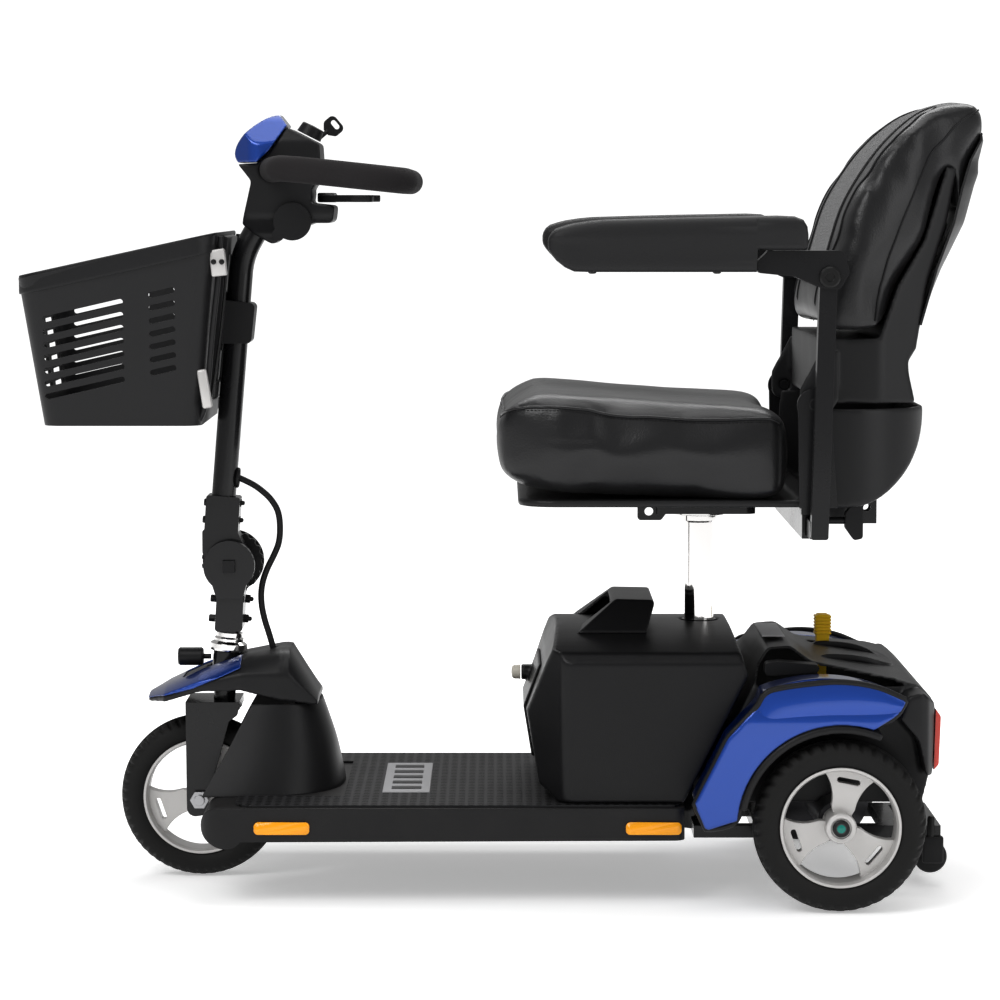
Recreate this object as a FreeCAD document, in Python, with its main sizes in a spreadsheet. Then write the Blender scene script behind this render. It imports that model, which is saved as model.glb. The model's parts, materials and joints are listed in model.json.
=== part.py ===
import FreeCAD, Part
import os
from math import atan2, cos, degrees, pi, radians, sin, tan
from FreeCAD import Placement, Rotation, Vector

# Three-wheeled travel mobility scooter, in millimetres. The front points to -X, the rider's left
# is -Y, Z = 0 is the floor, and the origin is under the middle of the scooter's box.

sizes = {
    # wheels
    "frontTyreRadius": 94, "rearTyreRadius": 96, "tyreWidth": 50, "rimRadius": 67,
    "rimWall": 5, "hubRadius": 17, "axleRadius": 6, "halfShaftRadius": 8.5, "spokeThick": 14,
    "frontWheelX": -347, "rearWheelX": 375, "rearWheelY": 219,
    # deck and main frame
    "deckWidth": 392, "deckTop": 110, "deckBottom": 74, "deckRear": 206, "deckFront": -337,
    "deckWall": 4, "matThick": 2.5, "wheelGap": 208, "railWidth": 24, "railSpread": 120,
    # steering
    "steerTilt": 5, "steerX": -315, "steerZ": 274, "spindleRadius": 12.5, "headTubeRadius": 17,
    "bladeThick": 5, "bladeSpread": 34, "foldX": -312.5, "foldZ": 363.5, "lugRadius": 24,
    "discRadius": 29.5, "lugWidth": 35, "boltRadius": 5, "knobRadius": 36,
    # tiller and head
    "tubeRadius": 14, "tubeWall": 2, "barRadius": 11, "gripRadius": 14.5, "headWidth": 100,
    "coverWidth": 122, "cableRadius": 3.6, "throttleThick": 8, "capRadius": 21.5,
    # basket
    "basketWall": 3, "basketSlot": 6.4, "basketPitch": 14.5,
    # battery
    "caseWidth": 360, "caseBase": 113, "mastX": 231, "mastRadius": 20, "mastTop": 300,
    "postRadius": 17, "postTop": 427,
    # seat and arms
    "seatWidth": 430, "backWidth": 400, "backHingeX": 345, "backHingeZ": 561,
    "tubWidth": 392, "shellWidth": 372, "hingeY": 212, "plateThick": 5,
    "armY": 244, "armBar": 19, "armPivotX": 356.5, "armPivotZ": 701.5, "padWidth": 55,
    "receiverX": 348, "receiverZ": 431, "receiverSize": 28,
    # rear end
    "shroudWidth": 352, "fenderWidth": 68, "archRadius": 114, "lipRadius": 105, "shellWall": 3,
    "antitipRadius": 19, "railLow": 56, "railHigh": 70, "wingWidth": 52,
}

doc = FreeCAD.newDocument("TravelScooter")
sheet = doc.addObject("Spreadsheet::Sheet", "Sizes")
for row, (alias, value) in enumerate(sizes.items(), 1):
    sheet.set(f"A{row}", alias)
    sheet.set(f"B{row}", str(value))
    sheet.setAlias(f"B{row}", alias)
doc.recompute()


def size(alias):
    return float(sheet.get(alias))


# ---- drawing helpers ----

def corner_arc(before, corner, after, radius):
    """The tangent arc that rounds a corner: its first, middle and last points."""
    u = (before - corner).normalize()
    v = (after - corner).normalize()
    half = u.getAngle(v) / 2
    reach = radius / tan(half)
    middle = (u + v).normalize()
    centre = corner + middle * (radius / sin(half))
    return corner + u * reach, centre - middle * radius, corner + v * reach


def outline(*items):
    """A closed outline. An item is a corner (x, y), a rounded corner (x, y, radius),
    ("arc", middle, end) or ("curve", point, ..., end), drawn from the item before it."""
    def end_of(item):
        last = item if isinstance(item[0], (int, float)) else item[-1]
        return Vector(last[0], last[1], 0)

    drawn = []
    pen = None
    first = None
    count = len(items)
    for index, item in enumerate(items):
        if isinstance(item[0], str):
            stops = [Vector(x, y, 0) for x, y in item[1:]]
            if item[0] == "arc":
                drawn.append(Part.Arc(pen, stops[0], stops[1]))
            else:
                spline = Part.BSplineCurve()
                spline.interpolate([pen] + stops)
                drawn.append(spline)
            pen = stops[-1]
            continue
        corner = Vector(item[0], item[1], 0)
        start = corner
        leave = corner
        if len(item) == 3:
            before = end_of(items[index - 1])
            following = items[(index + 1) % count]
            after = end_of(following[1:2] if isinstance(following[0], str) else following)
            start, middle, leave = corner_arc(before, corner, after, item[2])
        if pen is not None and (start - pen).Length > 1e-6:
            drawn.append(Part.LineSegment(pen, start))
        if len(item) == 3:
            drawn.append(Part.Arc(start, middle, leave))
        if first is None:
            first = start
        pen = leave
    if (pen - first).Length > 1e-6:
        drawn.append(Part.LineSegment(pen, first))
    return drawn


def circle(x, y, radius):
    return [Part.Circle(Vector(x, y, 0), Vector(0, 0, 1), radius)]


def oblong(x, y, length, width, angle=0):
    """A slot with round ends, `length` long over all, turned by `angle` degrees."""
    along = Vector(cos(radians(angle)), sin(radians(angle)), 0)
    across = Vector(-along.y, along.x, 0) * (width / 2)
    run = along * (length - width) / 2
    tip = along * (length / 2)
    centre = Vector(x, y, 0)
    a, b = centre - run - across, centre + run - across
    c, d = centre + run + across, centre - run + across
    return [Part.LineSegment(a, b), Part.Arc(b, centre + tip, c),
            Part.LineSegment(c, d), Part.Arc(d, centre - tip, a)]


def inset(drawn, depth):
    """The same outline moved inwards by `depth`."""
    wire = Part.Wire(Part.__sortEdges__([curve.toShape() for curve in drawn]))
    moved = []
    for edge in wire.makeOffset2D(-depth, 2).Edges:
        first, last = edge.FirstParameter, edge.LastParameter
        a, b = edge.valueAt(first), edge.valueAt(last)
        if edge.Curve.TypeId == "Part::GeomLine":
            moved.append(Part.LineSegment(a, b))
        elif edge.Curve.TypeId == "Part::GeomCircle":
            moved.append(Part.Arc(a, edge.valueAt((first + last) / 2), b))
        else:
            spline = Part.BSplineCurve()
            steps = [first + (last - first) * step / 6 for step in range(7)]
            spline.interpolate([edge.valueAt(step) for step in steps])
            moved.append(spline)
    return moved


def bind(obj, prop, value):
    """Give a size: a number, or an expression in the sheet's names."""
    if isinstance(value, str):
        obj.setExpression(prop, value)
    else:
        setattr(obj, prop, value)


def new_body(label, at=(0, 0, 0), turn=None):
    body = doc.addObject("PartDesign::Body", label)
    body.Label = label
    body.Placement = Placement(Vector(*at), turn or Rotation())
    return body


def new_sketch(body, plane, drawn, offset=0, turn=None, shift=(0, 0)):
    """A sketch on one of the body's own planes, `offset` along that plane's normal."""
    sketch = body.newObject("Sketcher::SketchObject", body.Name + "_sketch")
    support = next(f for f in body.Origin.OriginFeatures if f.Role == plane)
    sketch.AttachmentSupport = [(support, "")]
    sketch.MapMode = "FlatFace"
    sketch.AttachmentOffset = Placement(Vector(shift[0], shift[1], 0), turn or Rotation())
    bind_offset(sketch, offset)
    for curve in drawn:
        sketch.addGeometry(curve, False)
    return sketch


def bind_offset(sketch, offset):
    if isinstance(offset, str):
        sketch.setExpression(".AttachmentOffset.Base.z", offset)
    else:
        place = sketch.AttachmentOffset
        place.Base.z = offset
        sketch.AttachmentOffset = place


def extrude(body, kind, plane, drawn, length, offset=0, both=False, back=False,
            turn=None, shift=(0, 0)):
    """A Pad or Pocket. XZ faces -Y, XY faces +Z and YZ faces +X; `back` goes the other way."""
    sketch = new_sketch(body, plane, drawn, offset, turn, shift)
    feature = body.newObject("PartDesign::" + kind, body.Name + "_" + kind.lower())
    feature.Profile = sketch
    bind(feature, "Length", length)
    if both:
        feature.Midplane = True
    feature.Reversed = back if kind == "Pad" else not back
    return feature


def pad(body, plane, drawn, length, **options):
    return extrude(body, "Pad", plane, drawn, length, **options)


def cut(body, plane, drawn, length, **options):
    return extrude(body, "Pocket", plane, drawn, length, **options)


def trim(body, plane, drawn, reach=2600):
    """Keep only what lies inside the outline, seen square to the plane."""
    frame = outline((-900, -900), (900, -900), (900, 1200), (-900, 1200))
    return cut(body, plane, frame + drawn, reach, both=True)


def turn_profile(body, plane, drawn, axis, kind="Revolution", angle=360):
    sketch = new_sketch(body, plane, drawn)
    feature = body.newObject("PartDesign::" + kind, body.Name + "_turned")
    feature.Profile = sketch
    feature.ReferenceAxis = (axis_of(body, axis), [""])
    feature.Angle = angle
    return feature


def axis_of(body, role):
    return next(f for f in body.Origin.OriginFeatures if f.Role == role)


def loft(body, sections, kind="AdditiveLoft", ruled=False):
    """A loft through sections, each (plane, outline, offset)."""
    sketches = [new_sketch(body, plane, drawn, offset) for plane, drawn, offset in sections]
    feature = body.newObject("PartDesign::" + kind, body.Name + "_loft")
    feature.Profile = sketches[0]
    feature.Sections = sketches[1:]
    feature.Ruled = ruled
    return feature


def repeat_round(body, features, axis, count):
    pattern = body.newObject("PartDesign::PolarPattern", body.Name + "_round")
    pattern.Originals = features
    pattern.Axis = (axis_of(body, axis), [""])
    pattern.Angle = 360
    pattern.Occurrences = count
    body.Tip = pattern
    return pattern


def repeat_along(body, features, axis, length, count):
    pattern = body.newObject("PartDesign::LinearPattern", body.Name + "_row")
    pattern.Originals = features
    pattern.Direction = (axis_of(body, axis), [""])
    pattern.Length = length
    pattern.Occurrences = count
    body.Tip = pattern
    return pattern


def mirrored(label, source):
    """The same piece on the other side of the scooter."""
    twin = doc.addObject("Part::Mirroring", label)
    twin.Label = label
    twin.Source = source
    twin.Normal = Vector(0, 1, 0)
    return twin


def group(label, members):
    whole = doc.addObject("Part::Compound", label)
    whole.Label = label
    whole.Links = members
    return whole


def bend_radii(points):
    """An arc's radius at each inner point: 0.45 of the shorter run over the tangent of half
    the turn."""
    stops = [Vector(*point) for point in points]
    radii = []
    for before, corner, after in zip(stops, stops[1:], stops[2:]):
        turn = (corner - before).getAngle(after - corner)
        shorter = min((corner - before).Length, (after - corner).Length)
        radii.append(0.45 * shorter / tan(turn / 2))
    return radii


def route(points, radii=None):
    """Straight runs joined by tangent arcs of the given radii, or of those that fit."""
    stops = [Vector(*point) for point in points]
    edges = []
    pen = stops[0]
    for index, radius in enumerate(radii or bend_radii(points), 1):
        start, middle, end = corner_arc(*stops[index - 1:index + 2], radius)
        edges.append(Part.LineSegment(pen, start).toShape())
        edges.append(Part.Arc(start, middle, end).toShape())
        pen = end
    edges.append(Part.LineSegment(pen, stops[-1]).toShape())
    return Part.Wire(edges)


def tube_along(label, wire, radius, hollow=0):
    """A round tube whose middle line is the wire."""
    def sweep(reach):
        start = wire.Edges[0].valueAt(wire.Edges[0].FirstParameter)
        along = wire.Edges[0].tangentAt(wire.Edges[0].FirstParameter)
        ring = Part.Wire(Part.Circle(start, along, reach).toShape())
        return wire.makePipeShell([ring], True, False)

    solid = sweep(radius)
    if hollow:
        solid = solid.cut(sweep(hollow))
    piece = doc.addObject("Part::Feature", label)
    piece.Label = label
    piece.Shape = solid
    return piece


def finished(label, base, *tools):
    """A piece with the room for its neighbours taken out of it."""
    for index, tool in enumerate(tools):
        result = doc.addObject("Part::Cut", f"{label}_cut{index}")
        result.Base = base
        result.Tool = tool
        base = result
    base.Label = label
    return base


# ---- main frame, deck and front fairing ----

def main_frame():
    """Two rails under the deck, three cross members, the neck and the welded head tube."""
    body = new_body("main_frame")
    rail = outline((-232, 78), (200, 78), (200, 102), (-232, 102))
    for side in (1, -1):
        pad(body, "XZ_Plane", rail, "Sizes.railWidth", both=True,
            offset=f"Sizes.railSpread * {side / 2}")
        if side == 1:
            for x in (-232, -20, 176):
                cross = outline((x, 80), (x + 24, 80), (x + 24, 100), (x, 100))
                pad(body, "XZ_Plane", cross, "Sizes.railSpread + 10", both=True)
    neck = outline((-224, 90), (-202, 90), (-202, 150, 60), (-230, 236, 24), (-300, 250),
                   (-306, 224), (-246, 222, 10), (-224, 165, 40))
    pad(body, "XZ_Plane", neck, 30, both=True)
    tilt = Rotation(Vector(0, 1, 0), size("steerTilt"))
    run = tan(radians(size("steerTilt")))
    low = 219
    foot = size("steerX") - (size("steerZ") - low) * run
    tube = new_sketch(body, "XY_Plane", circle(0, 0, size("headTubeRadius")))
    tube.AttachmentOffset = Placement(Vector(foot, 0, low), tilt)
    wall = body.newObject("PartDesign::Pad", "main_frame_tube")
    wall.Profile = tube
    wall.Length = 43
    bore = new_sketch(body, "XY_Plane", circle(0, 0, size("spindleRadius") + 0.4))
    bore.AttachmentOffset = Placement(Vector(foot, 0, low) - tilt.multVec(Vector(0, 0, 20)), tilt)
    hole = body.newObject("PartDesign::Pocket", "main_frame_bore")
    hole.Profile = bore
    hole.Length = 90
    hole.Reversed = True
    return body


def wheel_gap():
    """The U at the front of the deck that the steered wheel turns in, seen from above."""
    half = size("wheelGap") / 2
    return outline((-500, -half), (-242, -half, 60), (-242, half, 60), (-500, half))


def deck_pan():
    """The moulded floor pan: a shell, open below, with a rounded lobe each side of the wheel."""
    body = new_body("deck_pan")
    top, bottom = size("deckTop"), size("deckBottom")
    front, rear = size("deckFront"), size("deckRear")
    side = outline((rear, bottom), (rear, top), (front + 24, top),
                   ("curve", (front + 4, 97), (front + 4, 80), (front + 18, 67), (front + 33, 64),
                    (front + 48, 72)))
    pad(body, "XZ_Plane", side, "Sizes.deckWidth", both=True)
    cut(body, "XY_Plane", wheel_gap(), 300, both=True)
    half = size("deckWidth") / 2
    plan = outline((front, -half, 30), (rear, -half, 12), (rear, half, 12), (front, half, 30))
    trim(body, "XY_Plane", plan)
    wall = size("deckWall")
    gap = size("wheelGap") / 2 + wall
    under = outline((-238 + wall, -half + wall, 8), (rear - wall, -half + wall, 8),
                    (rear - wall, half - wall, 8), (-238 + wall, half - wall, 8))
    cut(body, "XY_Plane", under, f"Sizes.deckTop - {wall}", offset=0)
    slot = outline((-232, -18, 4), (-196, -18, 4), (-196, 18, 4), (-232, 18, 4))
    cut(body, "XY_Plane", slot, 300, both=True)
    for side in (-1, 1):
        lobe = outline((front + 30, side * gap), (-238, side * gap), (-238, side * (half - wall)),
                       (front + 30, side * (half - wall)))
        cut(body, "XY_Plane", lobe, f"Sizes.deckTop - {wall}")
    return body


def deck_mat():
    """The ribbed floor mat, laid round the foot of the fairing, with a smooth recess for heels."""
    body = new_body("deck_mat")
    half = size("deckWidth") / 2 - 8
    plan = outline((-296, -half, 20), (200, -half, 10), (200, half, 10), (-296, half, 20),
                   (-296, 124), (-176, 124), (-176, -124), (-296, -124))
    pad(body, "XY_Plane", plan, "Sizes.matThick", offset="Sizes.deckTop")
    panel = outline((-150, -110, 30), (20, -110, 30), (20, 110, 30), (-150, 110, 30))
    cut(body, "XY_Plane", panel, 0.8, offset="Sizes.deckTop + Sizes.matThick")
    return body


def tower_section(front, rear, half, corner, grow=0):
    return outline((front - grow, -half - grow, corner), (rear + grow, -half - grow, corner),
                   (rear + grow, half + grow, corner), (front - grow, half + grow, corner))


def tower():
    """The front fairing: a tapered shell with a round well for the steered wheel."""
    body = new_body("tower")
    loft(body, [("XY_Plane", tower_section(-335, -181, 119, 30), 111),
                ("XY_Plane", tower_section(-310, -190, 92, 30), 160),
                ("XY_Plane", tower_section(-284, -206, 66, 24), 206)])
    well = outline((-460, -94), (-326, -94), ("arc", (-232, 0), (-326, 94)), (-460, 94))
    cut(body, "XY_Plane", well, 420, both=True)
    loft(body, [("XY_Plane", tower_section(-227, -186, 112, 8), 110.9),
                ("XY_Plane", tower_section(-227, -195, 86, 8), 160),
                ("XY_Plane", tower_section(-262, -211, 60, 8), 206.1)], kind="SubtractiveLoft",
         ruled=True)
    return body


noseStations = [(-407, 26, 206, 213), (-385, 62, 210, 225), (-345, 68, 222, 243),
                (-297, 72, 224, 260), (-250, 70, 212, 269), (-209, 62, 207, 236)]


def nose_sections(grow=0.0):
    """Cross-sections of the nose: half width, underside and crown at each station."""
    sections = []
    for x, half, low, high in noseStations:
        wide = half + grow
        brow = low + (high - low) * 0.55 + grow * 0.5
        drawn = outline((-wide, low), (wide, low), (wide, brow), ("curve", (wide * 0.62, high - 2 + grow),
                        (0, high + grow), (-wide * 0.62, high - 2 + grow), (-wide, brow)))
        sections.append(("YZ_Plane", drawn, x))
    return sections


def nose_cover():
    """The beak over the wheel, hollow below, with holes for the head tube and the cable."""
    body = new_body("nose_cover")
    loft(body, nose_sections(), ruled=True)
    cavity = [("YZ_Plane", outline((-half + 3, low - 30), (half - 3, low - 30),
                                   (half - 3, low + (high - low) * 0.5), (half * 0.6, high - 6),
                                   (-half * 0.6, high - 6), (-half + 3, low + (high - low) * 0.5)), x)
              for x, half, low, high in [(-380, 60, 212, 226)] + noseStations[2:5]
              + [(-213, 62, 207, 238)]]
    loft(body, cavity, kind="SubtractiveLoft", ruled=True)
    cut(body, "XY_Plane", circle(-319, 0, 24), 120, offset=200)
    cut(body, "XY_Plane", circle(-263, -2, 4.4), 120, offset=200)
    return body


def nose_trim():
    """The blue skin along both sides of the nose, from its tip back to the head tube."""
    body = new_body("trim_blank")
    loft(body, nose_sections(2.2), ruled=True)
    trim(body, "XZ_Plane", outline((-412, 208), (-397, 214), (-352, 226), (-322, 239), (-297, 250),
                                   (-297, 275), (-345, 262), (-412, 230)))
    cut(body, "XZ_Plane", outline((-366, 190), (-290, 190), (-290, 290), (-366, 290)), 60, both=True)
    inner = new_body("nose_mould")
    loft(inner, nose_sections(), ruled=True)
    return finished("nose_trim", body, inner)


def headset():
    """The two chrome cups of the steering bearing, above the head tube."""
    body = new_body("headset")
    tilt = Rotation(Vector(0, 1, 0), size("steerTilt"))
    body.Placement = Placement(Vector(size("steerX"), 0, size("steerZ")), tilt)
    bore = size("spindleRadius") + 0.4
    profile = outline((bore, -11), (21, -11), (21.5, -9), (21.5, -3), (17, 0), (17, 3), (15.5, 5),
                      (15.5, 10), (bore, 10))
    turn_profile(body, "XZ_Plane", profile, "Z_Axis")
    return body


def steering_lock():
    """The spring plunger that locks the steering for carrying: a ribbed knob on a thin pin."""
    body = new_body("steering_lock", at=(-374, 0, 255.5))
    profile = outline((0, 0), (9, 0), (10.5, 2), (10.5, 27), (9, 29), (3, 29), (3, 38), (0, 38))
    turn_profile(body, "XY_Plane", profile_swapped(profile), "X_Axis")
    return body


def profile_swapped(drawn):
    """The same outline with its two directions exchanged, for turning about the first axis."""
    swap = FreeCAD.Matrix(0, 1, 0, 0, 1, 0, 0, 0, 0, 0, 1, 0, 0, 0, 0, 1)
    swapped = []
    for curve in drawn:
        if curve.TypeId == "Part::GeomLineSegment":
            swapped.append(Part.LineSegment(swap.multiply(curve.StartPoint),
                                            swap.multiply(curve.EndPoint)))
        else:
            middle = curve.value((curve.FirstParameter + curve.LastParameter) / 2)
            swapped.append(Part.Arc(swap.multiply(curve.StartPoint), swap.multiply(middle),
                                    swap.multiply(curve.EndPoint)))
    return swapped


def reflectors():
    """Four amber side reflectors on the deck and two red ones on the rear shroud."""
    members = []
    lens = (62, 14, 3)
    for side in (-1, 1):
        for x in (-243, 171):
            piece = new_body(f"side_lens_{x}_{side}", at=(x, side * 196, 88),
                             turn=Rotation(Vector(0, 0, 1), 0 if side < 0 else 180))
            pad(piece, "XZ_Plane", outline((-lens[0] / 2, -7, 5), (lens[0] / 2, -7, 5),
                                           (lens[0] / 2, 7, 5), (-lens[0] / 2, 7, 5)), lens[2])
            members.append(piece)
        red = new_body(f"tail_lens_{side}", at=(0, side * 172, 0))
        pad(red, "XZ_Plane", outline((483.2, 222), (489, 214, 6), (487, 160, 6), (481.6, 154)),
            52, both=True)
        members.append(red)
    return group("reflectors", members)


# ---- rear section ----

def rear_frame():
    """Rear rails, the welded seat mast and the anti-tip ears."""
    body = new_body("rear_frame")
    low, high = size("railLow"), size("railHigh")
    rail = outline((222, low), (505, low), (505, high), (222, high))
    for side in (1, -1):
        pad(body, "XZ_Plane", rail, 16, both=True, offset=70 * side)
        if side == 1:
            for x in (222, 292, 440, 485):
                cross = outline((x, low), (x + 20, low), (x + 20, high), (x, high))
                pad(body, "XZ_Plane", cross, 140, both=True)
    pad(body, "XY_Plane", circle(size("mastX"), 0, size("mastRadius")),
        "Sizes.mastTop - Sizes.railLow", offset="Sizes.railLow")
    cut(body, "XY_Plane", circle(size("mastX"), 0, size("postRadius") + 0.3), 260, offset=86)
    ear = outline((485, 62), (505, 62), (505, 24, 9), (485, 24, 9))
    for side in (1, -1):
        pad(body, "XZ_Plane", ear, 5, both=True, offset=side * 44.5)
    cut(body, "XZ_Plane", circle(495, 32, 4.3), 200, both=True)
    return body


def drive_unit():
    """Motor, gearbox and axle tube with the two stub shafts that carry the rear wheels."""
    body = new_body("drive_unit", at=(size("rearWheelX"), 0, size("rearTyreRadius")))
    shaft = size("halfShaftRadius")
    axle = outline((-246, 0), (-246, shaft), (-190, shaft), (-186, 20), (-60, 24), (-34, 52),
                   (30, 52), (56, 24), (186, 20), (190, shaft), (246, shaft), (246, 0))
    turn_profile(body, "XY_Plane", profile_swapped(axle), "Y_Axis")
    motor = new_sketch(body, "YZ_Plane", circle(75, 24, 36), -113)
    can = body.newObject("PartDesign::Pad", "drive_unit_motor")
    can.Profile = motor
    can.Length = 95
    return body


def shroud_side():
    return outline((289, 262), (302, 281, 8), (328, 283, 10), (352, 266, 20), (440, 253, 20),
                   (466, 246, 10), (483, 230, 12), (480, 150), (472, 114), (222, 114))


def wheel_arch(radius):
    """A function that gives the point at an angle on a circle round the rear wheel's middle."""
    x, z = size("rearWheelX"), size("rearTyreRadius")
    def at(angle):
        return (x + radius * cos(radians(angle)), z + radius * sin(radians(angle)))
    return at


def rear_shroud():
    """The black cover over the drive, with the dark lips of both wheel arches, open below."""
    body = new_body("rear_shroud")
    pad(body, "XZ_Plane", shroud_side(), "Sizes.shroudWidth", both=True)
    half = size("shroudWidth") / 2
    trim(body, "YZ_Plane", outline((-half, 60), (half, 60), (half, 250, 16), (128, 264, 10),
                                   (112, 300), (-112, 300), (-128, 264, 10), (-half, 250, 16)))
    cavity = inset(shroud_side(), size("shellWall"))
    cut(body, "XZ_Plane", cavity, "Sizes.shroudWidth - 2 * Sizes.shellWall", both=True)
    floor = outline((225, 100), (478, 100), (477, 130), (236, 130))
    cut(body, "XZ_Plane", floor, "Sizes.shroudWidth - 2 * Sizes.shellWall", both=True)
    cut(body, "XY_Plane", oblong(397, 80, 66, 24), 60, offset=230)
    at = wheel_arch(size("lipRadius"))
    out = wheel_arch(size("archRadius") - 0.5)
    lip = outline(out(170), ("arc", out(115), out(66)), at(66), ("arc", at(115), at(170)))
    for side in (1, -1):
        pad(body, "XZ_Plane", lip, "Sizes.fenderWidth + 4", both=True,
            offset=side * (half + size("fenderWidth") / 2 - 1))
    wing = outline((441, 214), (449, 239, 6), (466, 244, 8), (482, 230, 10), (479, 150), (471, 150),
                   (462, 190, 20))
    for side in (1, -1):
        pad(body, "XZ_Plane", wing, "Sizes.wingWidth", both=True,
            offset=side * (half + size("wingWidth") / 2 - 3))
    corner = half + size("wingWidth") - 3
    trim(body, "XY_Plane", outline((200, -260), (454, -260), (454, -corner), (470, -corner, 14),
                                   (483.5, -corner + 26, 20), (484, 0), (483.5, corner - 26, 20),
                                   (470, corner, 14), (454, corner), (454, 260), (200, 260)))
    axle = circle(size("rearWheelX"), size("rearTyreRadius"), 27)
    cut(body, "XZ_Plane", axle, 500, both=True)
    cut(body, "XY_Plane", circle(size("mastX"), 0, size("mastRadius") + 4), 500, both=True)
    return body


def fender_outline():
    at = wheel_arch(size("archRadius"))
    return outline((214, 124), (226, 93, 5), at(176), ("arc", at(120), at(72)), (438, 222, 6),
                   (447, 237, 4), ("arc", (375, 258), (300, 250)), (288, 246, 4), (283, 232),
                   (250, 196))


def fenders():
    """The blue wheel-arch shells: a swept side panel that rolls over to meet the shroud."""
    half = size("shroudWidth") / 2
    left = new_body("fender_left")
    pad(left, "XZ_Plane", fender_outline(), "Sizes.fenderWidth", offset=half + 0.2)
    reach = size("fenderWidth")
    roll = outline((-half, 60), (-half, 270), (-half - 20, 268), ("arc", (-half - 52, 250),
                   (-half - reach, 214)), (-half - reach - 2, 60))
    trim(left, "YZ_Plane", roll)
    hollow = inset(fender_outline(), size("shellWall"))
    cut(left, "XZ_Plane", hollow, "Sizes.fenderWidth - Sizes.shellWall", offset=half)
    return group("fenders", [left, mirrored("fender_right", left)])


def frame_latch():
    """The lever that locks the front and rear sections together."""
    body = new_body("frame_latch")
    pad(body, "XZ_Plane", outline((296, 254, 5), (310, 254), (356, 258, 4), (358, 266, 4),
                                  (312, 270, 6), (296, 268, 6)), 24, both=True, offset=148)
    return body


def freewheel_lever():
    """The yellow lever that frees the drive: a blade up through the shroud with a moulded grip."""
    body = new_body("freewheel_lever", at=(382, 80, 0))
    pad(body, "XZ_Plane", outline((-5, 190, 5), (5, 190, 5), (5, 262), (-5, 262)), 6, both=True)
    pad(body, "XZ_Plane", outline((-7, 258, 2), (7, 258, 2), (9, 296, 5), (-9, 296, 5)), 18, both=True)
    return body


def antitip_wheels():
    """Two small rollers on one pin behind the drive."""
    body = new_body("antitip_wheels", at=(495, 0, 32))
    r = size("antitipRadius")
    profile = outline((0, -70), (5, -70), (5, -68), (r - 2, -67), (r, -65), (r, -53), (r - 2, -51),
                      (4, -50), (4, 50), (r - 2, 51), (r, 53), (r, 65), (r - 2, 67), (5, 68),
                      (5, 70), (0, 70))
    turn_profile(body, "YZ_Plane", profile_swapped(profile), "Y_Axis")
    return body


# ---- wheels ----

spokeAngles = (79, 199, 319)


def wheel_rim(label, at, bore):
    """A cast rim: barrel, hub and three broad flared spokes, each with a slot near the rim."""
    body = new_body(label, at=at)
    outer, wall, half = size("rimRadius"), size("rimWall"), size("tyreWidth") / 2 - 3
    barrel = outline((-half, outer), (-half, outer - wall + 2), (-half + 6, outer - wall),
                     (half - 6, outer - wall), (half, outer - wall + 2), (half, outer))
    turn_profile(body, "YZ_Plane", barrel, "Y_Axis")
    pad(body, "XZ_Plane", circle(0, 0, size("hubRadius")), "Sizes.tyreWidth - 6", both=True)
    inner = outer - wall + 1.5
    spoke = outline((-9, 10), (-13, 20), ("curve", (-14, 30), (-19, 44), (-29, inner - 7)),
                    ("arc", (0, inner), (29, inner - 7)), ("curve", (19, 44), (14, 30), (13, 20)),
                    (9, 10))
    for angle in spokeAngles:
        pad(body, "XZ_Plane", spoke, "Sizes.spokeThick", both=True,
            turn=Rotation(Vector(0, 0, 1), angle - 90))
    for angle in spokeAngles:
        cut(body, "XZ_Plane", oblong(0, inner - 13, 26, 6), 60, both=True,
            turn=Rotation(Vector(0, 0, 1), angle - 90))
    cut(body, "XZ_Plane", circle(0, 0, bore), 200, both=True)
    return body


def tyre(label, at, radius):
    """A solid tyre with a rounded crown."""
    body = new_body(label, at=at)
    half, seat = size("tyreWidth") / 2, size("rimRadius") + 0.05
    profile = outline((-half + 4, seat), (half - 4, seat), (half - 0.5, seat + 6),
                      (half, radius - 12, 8), (half - 12, radius, 8), (12 - half, radius, 8),
                      (-half, radius - 12, 8), (0.5 - half, seat + 6))
    turn_profile(body, "YZ_Plane", profile, "Y_Axis")
    return body


# ---- steering ----

def fork():
    """The bent plate fork with its welded crown and steerer."""
    body = new_body("fork")
    spread, thick = size("bladeSpread"), size("bladeThick")
    crown = outline((-363, 198), (-301, 198), (-301, 207), (-363, 207))
    pad(body, "XZ_Plane", crown, 2 * (spread + thick), both=True)
    blade = outline((-363, 204), (-301, 204), (-303, 192, 4), (-313, 184), (-337, 96), (-338, 76, 8),
                    (-362, 72, 10))
    for side in (1, -1):
        pad(body, "XZ_Plane", blade, "Sizes.bladeThick", both=True,
            offset=side * (spread + thick / 2))
    tilt = Rotation(Vector(0, 1, 0), size("steerTilt"))
    run = tan(radians(size("steerTilt")))
    low = 204
    foot = size("steerX") - (size("steerZ") - low) * run
    spindle = new_sketch(body, "XY_Plane", circle(0, 0, size("spindleRadius")))
    spindle.AttachmentOffset = Placement(Vector(foot, 0, low), tilt)
    steerer = body.newObject("PartDesign::Pad", "fork_steerer")
    steerer.Profile = spindle
    steerer.Length = 122
    cut(body, "XZ_Plane", circle(size("frontWheelX"), size("frontTyreRadius"),
                                 size("axleRadius") + 0.1), 200, both=True)
    return body


def front_axle():
    """The through bolt with a hexagon head and nut outside the blades."""
    body = new_body("front_axle", at=(size("frontWheelX"), 0, size("frontTyreRadius")))
    pad(body, "XZ_Plane", circle(0, 0, size("axleRadius")), 100, both=True)
    hexagon = [(11 * cos(pi / 3 * k), 11 * sin(pi / 3 * k)) for k in range(6)]
    for side in (1, -1):
        pad(body, "XZ_Plane", outline(*hexagon), 8, offset=side * 39.2, back=side < 0)
    return body


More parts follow.
